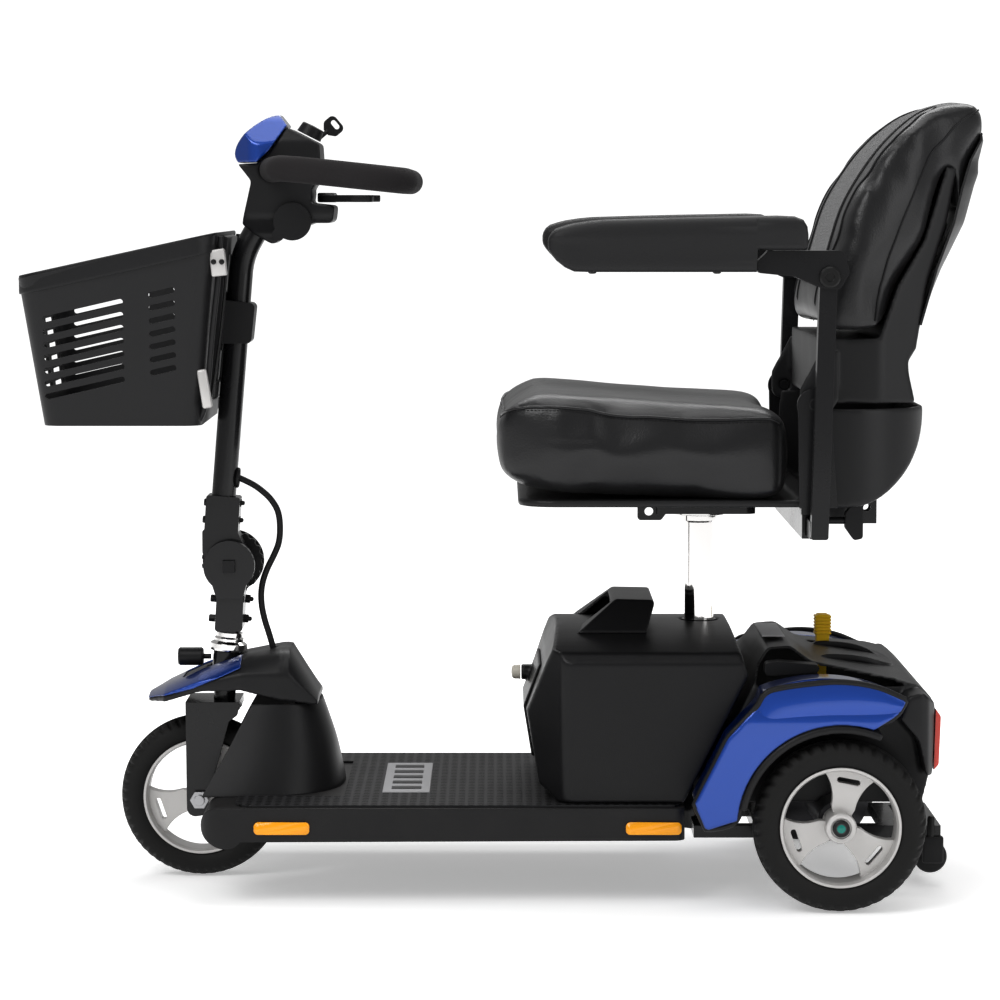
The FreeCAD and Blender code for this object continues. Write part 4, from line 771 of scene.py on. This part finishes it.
# Padded fabric: the plain form is remeshed, blown up a little as cloth, and held to a limit.
def paddedPiece(name, node, limit):
    piece = copyOf(name, node)
    mesh = piece.data
    spots = pointsOf(mesh)
    middle = (spots.min(0) + spots.max(0)) / 2
    span = spots.max(0) - spots.min(0)
    setPoints(mesh, middle + (spots - middle) * (1 - cushionSim["shrink"] / span))
    remesh = piece.modifiers.new("remesh", "REMESH")
    remesh.mode = "VOXEL"
    remesh.voxel_size = cushionSim["voxel"]
    applied(piece)
    start = pointsOf(piece.data)
    cloth = piece.modifiers.new("cloth", "CLOTH")
    cloth.settings.use_pressure = True
    cloth.settings.uniform_pressure_force = cushionSim["pressure"]
    cloth.settings.effector_weights.gravity = 0
    cloth.settings.quality = cushionSim["quality"]
    cloth.settings.tension_stiffness = cushionSim["stretch"]
    cloth.settings.compression_stiffness = cushionSim["stretch"]
    cloth.settings.bending_stiffness = cushionSim["bend"]
    cloth.point_cache.frame_end = cushionSim["steps"]
    for step in range(1, cushionSim["steps"] + 1):
        scene.frame_set(step)
    applied(piece)
    scene.frame_set(1)
    moved = pointsOf(piece.data) - start
    far = np.linalg.norm(moved, axis=1, keepdims=True)
    setPoints(piece.data, start + moved * np.minimum(1, limit / np.maximum(far, 1e-9)))
    smooth = piece.modifiers.new("smooth", "SMOOTH")
    smooth.factor = 0.5
    smooth.iterations = cushionSim["ease"]
    finer = piece.modifiers.new("finer", "SUBSURF")
    finer.levels = 1
    finer.render_levels = 1
    applied(piece)
    piece.data.shade_smooth()
    return piece


def seamLine(points, count=80):
    return smoothLine(mm(points), count)


# Stitches: short round-ended threads, each a stretched ball set along the line.
def stitchRow(name, piece, line, spacing, body, material):
    spots = evenly(onSurface(piece, line, 0.0004), spacing / 1000)
    ahead = unit(np.gradient(spots, axis=0))
    turn = np.linspace(0, 2 * pi, 6, endpoint=False)
    rise = np.linspace(0, pi, 5)
    ballAlong = -np.cos(rise)[:, None] * spacing / 1000 * 0.36 + 0 * turn
    ballSide = np.sin(rise)[:, None] * np.cos(turn) * 0.00045
    ballUp = np.sin(rise)[:, None] * np.sin(turn) * 0.00045
    helper = unit(np.cross(ahead, (0.31, 0.9, 0.3)))
    other = np.cross(helper, ahead)
    balls = (spots[:, None, None] + ahead[:, None, None] * ballAlong[None, ..., None]
             + helper[:, None, None] * ballSide[None, ..., None]
             + other[:, None, None] * ballUp[None, ..., None])
    count, rows, cols = balls.shape[:3]
    faces = quadsOf(rows, cols)[None] + (np.arange(count) * rows * cols)[:, None, None]
    mesh = bpy.data.meshes.new(name)
    mesh.from_pydata(balls.reshape(-1, 3).tolist(), [], faces.reshape(-1, 4).tolist())
    return place(tidied(name, mesh), body, material, "seat_vinyl")


# Each seam is width and depth; each piping is radius and lift off the pad.
seams = {"seatTop": (0.004, 0.0028), "seatSide": (0.0035, 0.0018), "back": (0.0035, 0.0026),
         "pouch": (0.003, 0.0012)}
pipings = {"seat": (0.0017, 0.0006), "back": (0.0013, 0.0004), "pouch": (0.0015, 0.0004)}


# Piping is a round cord laid on the pad along a line.
def pipingPiece(name, pad, line, kind, across, body, material, sides=8):
    radius, lift = pipings[kind]
    pipe = carry(name, evenly(onSurface(pad, line, lift), 0.004), roundSection(radius, sides),
                 across=across)
    place(pipe, body, material, "seat_vinyl")


seat = paddedPiece("seatPad", "seat_cushion", 0.009)
seatEdge = np.array([(322, 205, 549), (250, 207, 551), (150, 209, 556), (60, 208, 562),
                     (10, 192, 560), (-6, 150, 552)])
seatSide = np.array([(322, 214, 516), (200, 215, 517), (80, 215, 518), (10, 207, 520)])
seatTop = [seamLine(seatEdge * (1, side, 1)) for side in sideName]
frontRun = seamLine([(-6, -150, 552), (-9, -60, 553), (-9, 60, 553), (-6, 150, 552)])
topSeam = np.concatenate([seatTop[0], frontRun[1:-1], seatTop[1][::-1]])
sideSeams = [seamLine(seatSide * (1, side, 1)) for side in sideName]
pressSeam(seat, topSeam, *seams["seatTop"])
for line in sideSeams:
    pressSeam(seat, line, *seams["seatSide"])
place(seat, "seat", made["vinyl"], "seat_vinyl", "seat_cushion")
pipingPiece("seatPiping", seat, topSeam, "seat", (0.1, 0.2, 1), "seat", made["vinyl"], 10)
stitchRow("seatStitches", seat, topSeam - (0, 0, 0.006), 4.2, "seat", made["cableBlack"])

back = paddedPiece("backPad", "back_cushion", 0.006)
backLines = [[(484, 118, 891), (455, 150, 858), (428, 158, 816), (408, 160, 772),
              (392, 160, 730), (376, 160, 649)],
             [(500, 60, 894), (470, 95, 868), (432, 112, 826), (405, 118, 776),
              (386, 118, 724), (372, 118, 649)],
             [(540, 105, 888), (512, 152, 868), (480, 183, 820), (455, 194, 770),
              (438, 196, 720), (425, 197, 650)]]
backSeams = [seamLine(np.array(line) * (1, side, 1)) for side in sideName for line in backLines]
for line in backSeams:
    pressSeam(back, line, *seams["back"])
place(back, "back", made["vinyl"], "seat_vinyl", "back_cushion")
for number, line in enumerate(backSeams):
    pipingPiece(f"backPiping{number}", back, line, "back", (0.9, 0.1, -0.5), "back",
                made["cableBlack"])
print("stage: seat and back")


# Moulded shells: the plain form remeshed finely and eased, so facets and edges run soft.

mouldedShells = {
    "nose_cover": (1.5, 24, 0.8), "nose_trim": (1.1, 12, 0.8),
    "rear_shroud": (2.0, 10, 0.32), "fenders": (1.6, 8, 0.35), "head_cover": (1.0, 10, 0.8),
    "head_housing": (1.4, 6, 0.6), "battery_case": (2.0, 8, 0.35),
    "battery_handle": (1.5, 6, 0.7), "back_shell": (2.0, 10, 0.35), "seat_pan": (2.2, 6, 0.35),
    "battery_panel": (1.5, 4, 0.7), "throttle": (1.1, 6, 0.8)}

bodyOf = {node: body for body, members in frame["record"]["behaviour"]["bodies"].items()
          for node in members}
slotOf = {part["node"]: part["material_slot"] for part in frame["record"]["subparts"]}


def camel(node):
    first, *rest = node.split("_")
    return first + "".join(word.capitalize() for word in rest)


def mouldedShell(node, voxel, rounds, keep):
    piece = copyOf(camel(node) + "Shell", node)
    remesh = piece.modifiers.new("remesh", "REMESH")
    remesh.mode = "VOXEL"
    remesh.voxel_size = voxel / 1000
    smooth = piece.modifiers.new("smooth", "SMOOTH")
    smooth.factor = 0.5
    smooth.iterations = rounds
    fewer = piece.modifiers.new("fewer", "DECIMATE")
    fewer.ratio = keep
    applied(piece)
    piece.data.shade_smooth()
    return place(piece, bodyOf[node], made[slotFinish[slotOf[node]]], slotOf[node], node)


shells = {node: mouldedShell(node, *sizes) for node, sizes in mouldedShells.items()}

noseLook = {"from": -250, "low": 207, "top": [(-250, 269), (-209, 236)],
            "fall": [(-250, 269), (-242, 268), (-207, 212)]}

# The rear of the nose falls straight to the column cover: heights there are scaled about the
# lower edge by the wanted top line over the top line that the form has.
noseSpots = pointsOf(shells["nose_cover"].data) * 1000
topNow = np.interp(noseSpots[:, 0], *np.array(noseLook["top"], float).T)
topWanted = np.interp(noseSpots[:, 0], *np.array(noseLook["fall"], float).T)
ratio = (topWanted - noseLook["low"]) / (topNow - noseLook["low"])
raised = noseLook["low"] + (noseSpots[:, 2] - noseLook["low"]) * ratio
rear = (noseSpots[:, 0] > noseLook["from"]) & (noseSpots[:, 2] > noseLook["low"])
noseSpots[:, 2] = np.where(rear, raised, noseSpots[:, 2])
setPoints(shells["nose_cover"].data, noseSpots / 1000)

towerLook = {"rows": [(110, -338, -180, 121), (116, -335, -180.5, 118), (134, -325, -184, 108),
                      (160, -310, -190, 93), (185, -297, -198, 80), (208, -284, -206, 69)],
             "thick": 3.0}


# The column cover is a tall U, open to the wheel: at each height the plan is half a rounded
# oval, x = front + depth cos(t)^0.62 and y = half sin(t)^0.85, and an inner skin closes it.
def towerPiece():
    rows = smoothLine(towerLook["rows"], 46)
    t = np.linspace(-pi / 2, pi / 2, 72)
    along = np.abs(np.cos(t)) ** 0.62
    across = np.sign(np.sin(t)) * np.abs(np.sin(t)) ** 0.85

    def skin(inset):
        front, rear, half = (rows[:, [column]] for column in (1, 2, 3))
        x = front + (rear - inset - front) * along[None, :]
        y = (half - inset) * across[None, :]
        return np.stack([x, y, np.broadcast_to(rows[:, :1], x.shape)], -1)

    return surface("columnCover", mm(folded(skin(0), skin(towerLook["thick"]))), sharp=50)


place(towerPiece(), "root", made["fairingBlack"], "fairing_black", "tower")
print("stage: moulded shells")


# Reflectors and tail lamps.

lenses = place(copyOf("lenses", "reflectors"), "root", made["amber"], "amber_red_lens",
               "reflectors")
lenses.data.materials.append(made["lampRed"])
tailStart = 0.44
centres = np.empty(len(lenses.data.polygons) * 3)
lenses.data.polygons.foreach_get("center", centres)
lenses.data.polygons.foreach_set("material_index", (centres[::3] > tailStart).astype(int))


# Armrests.

# Stations are place along X, lowest, highest and share of the width.
armPad = {"middle": 248, "width": 55, "seam": 741, "sides": 72,
          "stations": [(52, 734, 741, 0.55), (53, 730, 745, 0.78), (56, 725, 750, 0.9),
                       (61, 719, 754, 0.96), (70, 712, 757, 1), (80, 707.5, 759.5, 1),
                       (96, 707, 762, 1), (112, 707, 763.5, 1), (160, 707, 765, 1),
                       (220, 707, 766.4, 1), (276.6, 707, 767.4, 1), (277.4, 731, 767.4, 1),
                       (300, 731, 767.8, 1), (318, 731, 767, 1), (327, 731, 763.5, 0.96),
                       (331, 732, 757, 0.9), (332, 736, 750, 0.8)],
          "pivot": (356.5, 258, 701.5), "screws": (100, 235)}


# Each station is a rounded box: cosine and sine to small powers, smaller below than above, and
# pulled in as a bell at the seam; the ends close in.
def armPadPiece(side):
    body = "arm_flip_left" if side < 0 else "arm_flip_right"
    turn = np.linspace(0, 2 * pi, armPad["sides"], endpoint=False)
    c, s = np.cos(turn), np.sin(turn)
    power = np.where(s > 0, 0.5, 0.24)
    wide = np.sign(c) * np.abs(c) ** np.where(s > 0, 0.42, 0.2)
    rise = np.sign(s) * np.abs(s) ** power
    rows = []
    for x, low, high, share in armPad["stations"]:
        z = (low + high) / 2 + rise * (high - low) / 2
        pull = 1 - 0.06 * np.exp(-((z - armPad["seam"]) / 1.1) ** 2) - 0.05 * (z < armPad["seam"])
        y = side * armPad["middle"] + wide * armPad["width"] / 2 * share * pull
        rows.append(np.stack([np.full(len(y), float(x)), y, z], 1))
    closing = [np.repeat(row.mean(0, keepdims=True), len(row), 0) for row in (rows[0], rows[-1])]
    grid = mm(np.stack([closing[0], *rows, closing[1]]))
    tag = sideName[side]
    node = "arm_pad_left" if side < 0 else "arm_pad_right"
    pad = surface("armPad" + tag, grid, sharp=50)
    place(pad, body, made["padBlack"], "pad_black", node)
    pivot = lathe("armPivot" + tag, [(0, 0), (0, 11.5), (3.2, 11.5), (4.6, 9.8), (4.6, 5.2),
                                     (3.0, 4.6), (3.0, 0)],
                  np.array(armPad["pivot"]) * (1, side, 1), (0, side, 0), 40)
    place(pivot, body, made["darkBolt"], "bolt_steel")
    for number, x in enumerate(armPad["screws"]):
        screw = lathe(f"padScrew{tag}{number}",
                      [(0, 0), (0, 4.6), (1.8, 4.2), (2.6, 2.6), (1.6, 2.2), (1.6, 0)],
                      (x, side * 248, 707.5), (0, 0, -1), 24)
        place(screw, body, made["darkBolt"], "bolt_steel")


bothSides(armPadPiece)


# Clamp bolts on the folding hinge.

clampBolts = {"upper": [(435, -320.6), (415, -322.3)], "lower": [(323, -312.4), (300, -314.6)]}


def clampBolt(name, x, z, half, body):
    head = lathe(name + "Head", [(0, 0), (0, 4.6), (6.4, 4.6), (7.2, 3.8), (7.2, 0)],
                 (x - half, 0, z), (-1, 0, 0.09), 6, sharp=25)
    place(head, body, made["darkBolt"], "bolt_steel")
    nut = lathe(name + "Nut", [(0, 0), (0, 5.2), (5.4, 5.2), (6, 4.4), (6, 3), (8.5, 2.8),
                               (9.6, 1.6), (9.9, 0)], (x + half, 0, z), (1, 0, -0.09), 6, sharp=25)
    place(nut, body, made["darkBolt"], "bolt_steel")


for level, body, half in (("upper", "tiller", 15.2), ("lower", "steer", 16.5)):
    for number, (z, x) in enumerate(clampBolts[level]):
        clampBolt(f"{level}Bolt{number}", x, z, half, body)

# The cable leaves the tube through a soft ring.
grommetTurn = np.linspace(0, 2 * pi, 40, endpoint=False)
grommetPath = mm(np.stack([-303.5 + 0.9 * np.sin(grommetTurn), -2 + 6.2 * np.cos(grommetTurn),
                           464 + 9.5 * np.sin(grommetTurn)], 1))
place(carry("cableGrommet", grommetPath, roundSection(0.0024, 12), (1, 0, 0), loop=True),
      "tiller", made["cableBlack"], "cable_black")


# Basket rim, wires and clips.

rimLook = {"front": (-534.7, 153.6, 699), "rear": (-317.5, 161.7, 746.5), "corner": 26,
           "tall": 21, "thick": 4.2, "drop": 9}


# The rim follows a rounded four-sided loop whose height slopes with its place along X.
def rimLoop(grow, drop):
    xFront, yFront, zFront = rimLook["front"]
    xRear, yRear, zRear = rimLook["rear"]
    r = rimLook["corner"]
    line = []
    for cx, cy, begin in ((xRear - r, yRear - r, 0), (xFront + r, yFront - r, 90),
                          (xFront + r, r - yFront, 180), (xRear - r, r - yRear, 270)):
        for step in range(9):
            a = radians(begin + step * 90 / 8)
            line.append((cx + (r + grow) * cos(a), cy + (r + grow) * sin(a)))
    flatLine = np.array(line)
    closed = np.vstack([flatLine, flatLine[:1]])
    full = evenly(np.hstack([closed, np.zeros((len(closed), 1))]), 6)[:-1]
    slope = (zRear - zFront) / (xRear - xFront)
    full[:, 2] = zFront + (full[:, 0] - xFront) * slope - drop
    return mm(full)


rim = carry("basketRim", rimLoop(0.6, rimLook["drop"]),
            boxSection(rimLook["thick"] / 1000, rimLook["tall"] / 1000, 0.3), (0, 0, 1), loop=True)
place(rim, "basket_body", made["basketBlack"], "basket_black")
bail = carry("basketBail", smoothLine(mm([
    (-309, -120, 724), (-307, -121, 700), (-313, -118, 640), (-322, -110, 580), (-326, -96, 562),
    (-327, 0, 558), (-326, 96, 562), (-322, 110, 580), (-313, 118, 640), (-307, 121, 700),
    (-309, 120, 724)]), 120), roundSection(0.0016, 10), (1, 0.1, 0))
place(bail, "basket_body", made["darkBolt"], "basket_black")
for side, tag in sideName.items():
    rod = carry("basketRod" + tag, smoothLine(mm([
        (-311, side * 138, 744), (-314, side * 137, 700), (-321, side * 132, 640),
        (-330, side * 122, 560), (-340, side * 112, 534)]), 60), roundSection(0.0032, 14),
        (0, 1, 0))
    place(rod, "basket_body", made["basketBlack"], "basket_black")
    clip = block("basketClip" + tag, (-322, side * 142 - 9, 700), (-305, side * 142 + 9, 730), 2.0,
                 -6)
    place(clip, "basket_body", made["rimSilver"], "bolt_steel")
    lower = block("basketCatch" + tag, (-336, side * 130 - 6, 552), (-325, side * 130 + 6, 596),
                  2.5, -9)
    place(lower, "basket_body", made["rimSilver"], "bolt_steel")
    for number, x in enumerate((-318, -309)):
        screw = lathe(f"clipScrew{tag}{number}",
                      [(0, 0), (0, 3.1), (1.4, 2.8), (1.8, 1.6), (1.8, 0)],
                      (x, side * 151, 716), (0, side, 0), 20)
        place(screw, "basket_body", made["darkBolt"], "bolt_steel")
print("stage: armrests, hinge and basket")


# Deck plates.

inlay = {"low": (-150, -108, 111.2), "high": (20, 108, 112.2)}
place(block("deckInlay", inlay["low"], inlay["high"], 0.4), "root", made["smoothMat"], "mat_black")
strip = {"low": (-134, -104, 111.9), "high": (-80, 104, 113.6), "bars": 5}
place(block("deckStrip", strip["low"], strip["high"], 0.6), "root", made["plateGrey"], "drive_grey")
ribs = []
for bar in range(strip["bars"]):
    y = -76 + bar * 38
    ribs.append(block(f"rib{bar}", (-124, y - 9, 113.0), (-90, y + 9, 114.2), 0.55))
place(joined("deckStripRibs", ribs), "root", made["darkBolt"], "drive_grey")


# Battery details.

knob = lathe("chargePlug", [(0, 0), (0, 8.5), (7, 8.2), (9.5, 6.8), (10.5, 4), (10.8, 0)],
             (24, 40, 232), (-1, 0, 0), 36)
place(knob, "battery", made["offWhite"], "case_black")


# Rear shroud details.

handleLoop = smoothLine(mm([(366, -58, 256), (376, -60, 262), (412, -59, 260), (438, -52, 252),
                            (448, -30, 248), (450, 0, 247), (448, 30, 248), (438, 52, 252),
                            (412, 59, 260), (376, 60, 262), (366, 58, 256)]), 110)
place(carry("liftHandle", handleLoop, boxSection(0.012, 0.008, 0.5), (0, 0.1, 1)), "root",
      made["fairingBlack"], "fairing_black")
place(block("latchPlate", (300, -60, 285.4), (326, 60, 287.2), 0.6), "root", made["plateGrey"],
      "drive_grey")
# Horizontal ribs round the top of the lever, each a little larger than the lever there.
leverTop = pointsOf(nodes["freewheel_lever"].data) * 1000
leverTop = leverTop[leverTop[:, 2] > leverTop[:, 2].max() - 24]
low, high = leverTop.min(0), leverTop.max(0)
bands = [block(f"band{number}", (low[0] - 1.2, low[1] - 1.2, high[2] - 4.2 - number * 3.9),
               (high[0] + 1.2, high[1] + 1.2, high[2] - 1.8 - number * 3.9), 0.9)
         for number in range(6)]
place(joined("leverRibs", bands), "freewheel", made["leverYellow"], "lever_yellow")

# The roller bracket carries a block and an upright pin on each side.
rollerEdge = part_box("antitip_wheels")[1][1] * 1000
for side, tag in sideName.items():
    y = side * (rollerEdge + 8)
    place(block("rollerBlock" + tag, (484, y - 6, 27), (508, y + 6, 58), 2.5), "root",
          made["knobBlack"], "frame_black")
    place(lathe("rollerPin" + tag, [(0, 0), (0, 4.6), (22, 4.4), (25, 3.2), (26, 0)],
                (494, y, 56), (0, 0, 1), 24), "root", made["darkBolt"], "bolt_steel")

# Side skins of the rear fenders.

skinLook = {"outer": [(214, 122), (223, 141), (237, 169), (250, 195), (268, 215), (282, 231),
                      (290, 244), (303, 250), (340, 255.5), (375, 257.5), (412, 252), (446, 238)],
            "inner": [(227, 94), (250, 98), (262, 108), (268, 138), (283, 165), (305, 187),
                      (335, 203), (370, 210), (402, 210), (425, 214), (438, 223)],
            "side": 243.5, "crown": 4.5, "thick": 3}


# A skin spans from the outer line to the wheel arch: a straight blend of the two lines, crowned
# outward as a sine of the place between them; an inner skin closes it.
def fenderSkin(side):
    outer = smoothLine([(*spot, 0) for spot in skinLook["outer"]], 110)[:, None, :2]
    inner = smoothLine([(*spot, 0) for spot in skinLook["inner"]], 110)[:, None, :2]
    share = np.linspace(0, 1, 18)[None, :, None]
    flatGrid = outer * (1 - share) + inner * share
    bulge = skinLook["crown"] * (np.sin(share[..., 0] * pi) ** 0.6 - 1) + 0 * flatGrid[..., 0]

    def skin(inset):
        y = side * (skinLook["side"] + bulge - inset)
        return np.stack([flatGrid[..., 0], y, flatGrid[..., 1]], -1)

    name = "fenderSkin" + sideName[side]
    grid = mm(folded(skin(0), skin(skinLook["thick"])))
    place(surface(name, grid, sharp=45), "root", made["bluePaint"], "trim_blue")


bothSides(fenderSkin)


# A dark lip runs round each skin, a little outside it.
def fenderLip(side):
    outer = smoothLine([(*spot, 0) for spot in skinLook["outer"]], 90)[:, :2]
    inner = smoothLine([(*spot, 0) for spot in skinLook["inner"]], 90)[::-1, :2]
    loop = np.concatenate([outer, inner])
    path = np.stack([loop[:, 0], np.full(len(loop), side * (skinLook["side"] - 5.0)),
                     loop[:, 1]], 1)
    path = evenly(mm(np.vstack([path, path[:1]])), 0.005)[:-1]
    place(carry("fenderLip" + sideName[side], path, roundSection(0.0034, 12), (0, 1, 0),
                loop=True), "root", made["fairingBlack"], "fairing_black")


bothSides(fenderLip)

# Pouch behind the backrest.

pouchLook = {"back": [(852, 538), (828, 524), (800, 514), (757, 503), (708, 484), (634, 463)],
             "off": [(860, 2), (846, 10), (814, 22), (762, 21), (719, 14), (685, 7), (646, 2)],
             "wide": [(860, 108), (800, 142), (700, 158), (646, 160)], "thick": 2.6}


# The pouch stands off the back by a height-dependent gap, which fades as the fourth power of the
# place across, with shallow folds as a wave across; the same grid shifted in closes it.
def pouchPiece():
    z = np.linspace(646, 858, 60)
    share = np.linspace(-1, 1, 61)

    def table(rows):
        rows = np.array(sorted(rows), float)
        return np.interp(z, rows[:, 0], rows[:, 1])

    base, off, wide = table(pouchLook["back"]), table(pouchLook["off"]), table(pouchLook["wide"])
    fade = 1 - share[None, :] ** 4
    fold = 1.1 * np.sin(share * 13)[None, :] * np.sin((z - 646) / 212 * pi)[:, None]
    x = base[:, None] + 1.5 + off[:, None] * fade + fold * fade
    y = wide[:, None] * share[None, :]
    outer = np.stack([x, y, np.broadcast_to(z[:, None], x.shape)], -1)
    inner = outer - (pouchLook["thick"], 0, 0)
    return surface("backPouch", mm(pinched(outer, inner)), sharp=60)


pouch = pouchPiece()
pouchTop = seamLine([(541, -88, 846), (549, -40, 842), (550, 40, 842), (541, 88, 846)])
pressSeam(pouch, pouchTop, *seams["pouch"])
place(pouch, "back", made["vinyl"], "seat_vinyl")
pipingPiece("pouchPiping", pouch, pouchTop + (0, 0, 0.013), "pouch", (1, 0.1, 0), "back",
            made["cableBlack"])

# Cloth panel on the backrest front, between its two inner seams.

panelLook = {"rows": [(649, 372), (724, 386), (776, 405), (826, 432), (868, 470)],
             "half": [(649, 96), (724, 98), (776, 98), (826, 92), (868, 74)], "lift": 0.7}


# A grid laid on the pad's own front face: each point takes the nearest place on it, lifted.
def clothPanel():
    z = np.linspace(700, 866, 60)
    x = np.interp(z, *np.array(panelLook["rows"], float).T)
    half = np.interp(z, *np.array(panelLook["half"], float).T)
    share = np.linspace(-1, 1, 50)
    spots = np.stack([np.broadcast_to(x[:, None], (60, 50)), half[:, None] * share,
                      np.broadcast_to(z[:, None], (60, 50))], -1).reshape(-1, 3) / 1000
    lift = panelLook["lift"] / 1000
    outer, inner = (onSurface(back, spots, way * lift).reshape(60, 50, 3) for way in (1, -1))
    return surface("backCloth", pinched(outer, inner), sharp=60)


place(clothPanel(), "back", made["meshCloth"], "seat_vinyl")
print("stage: details")
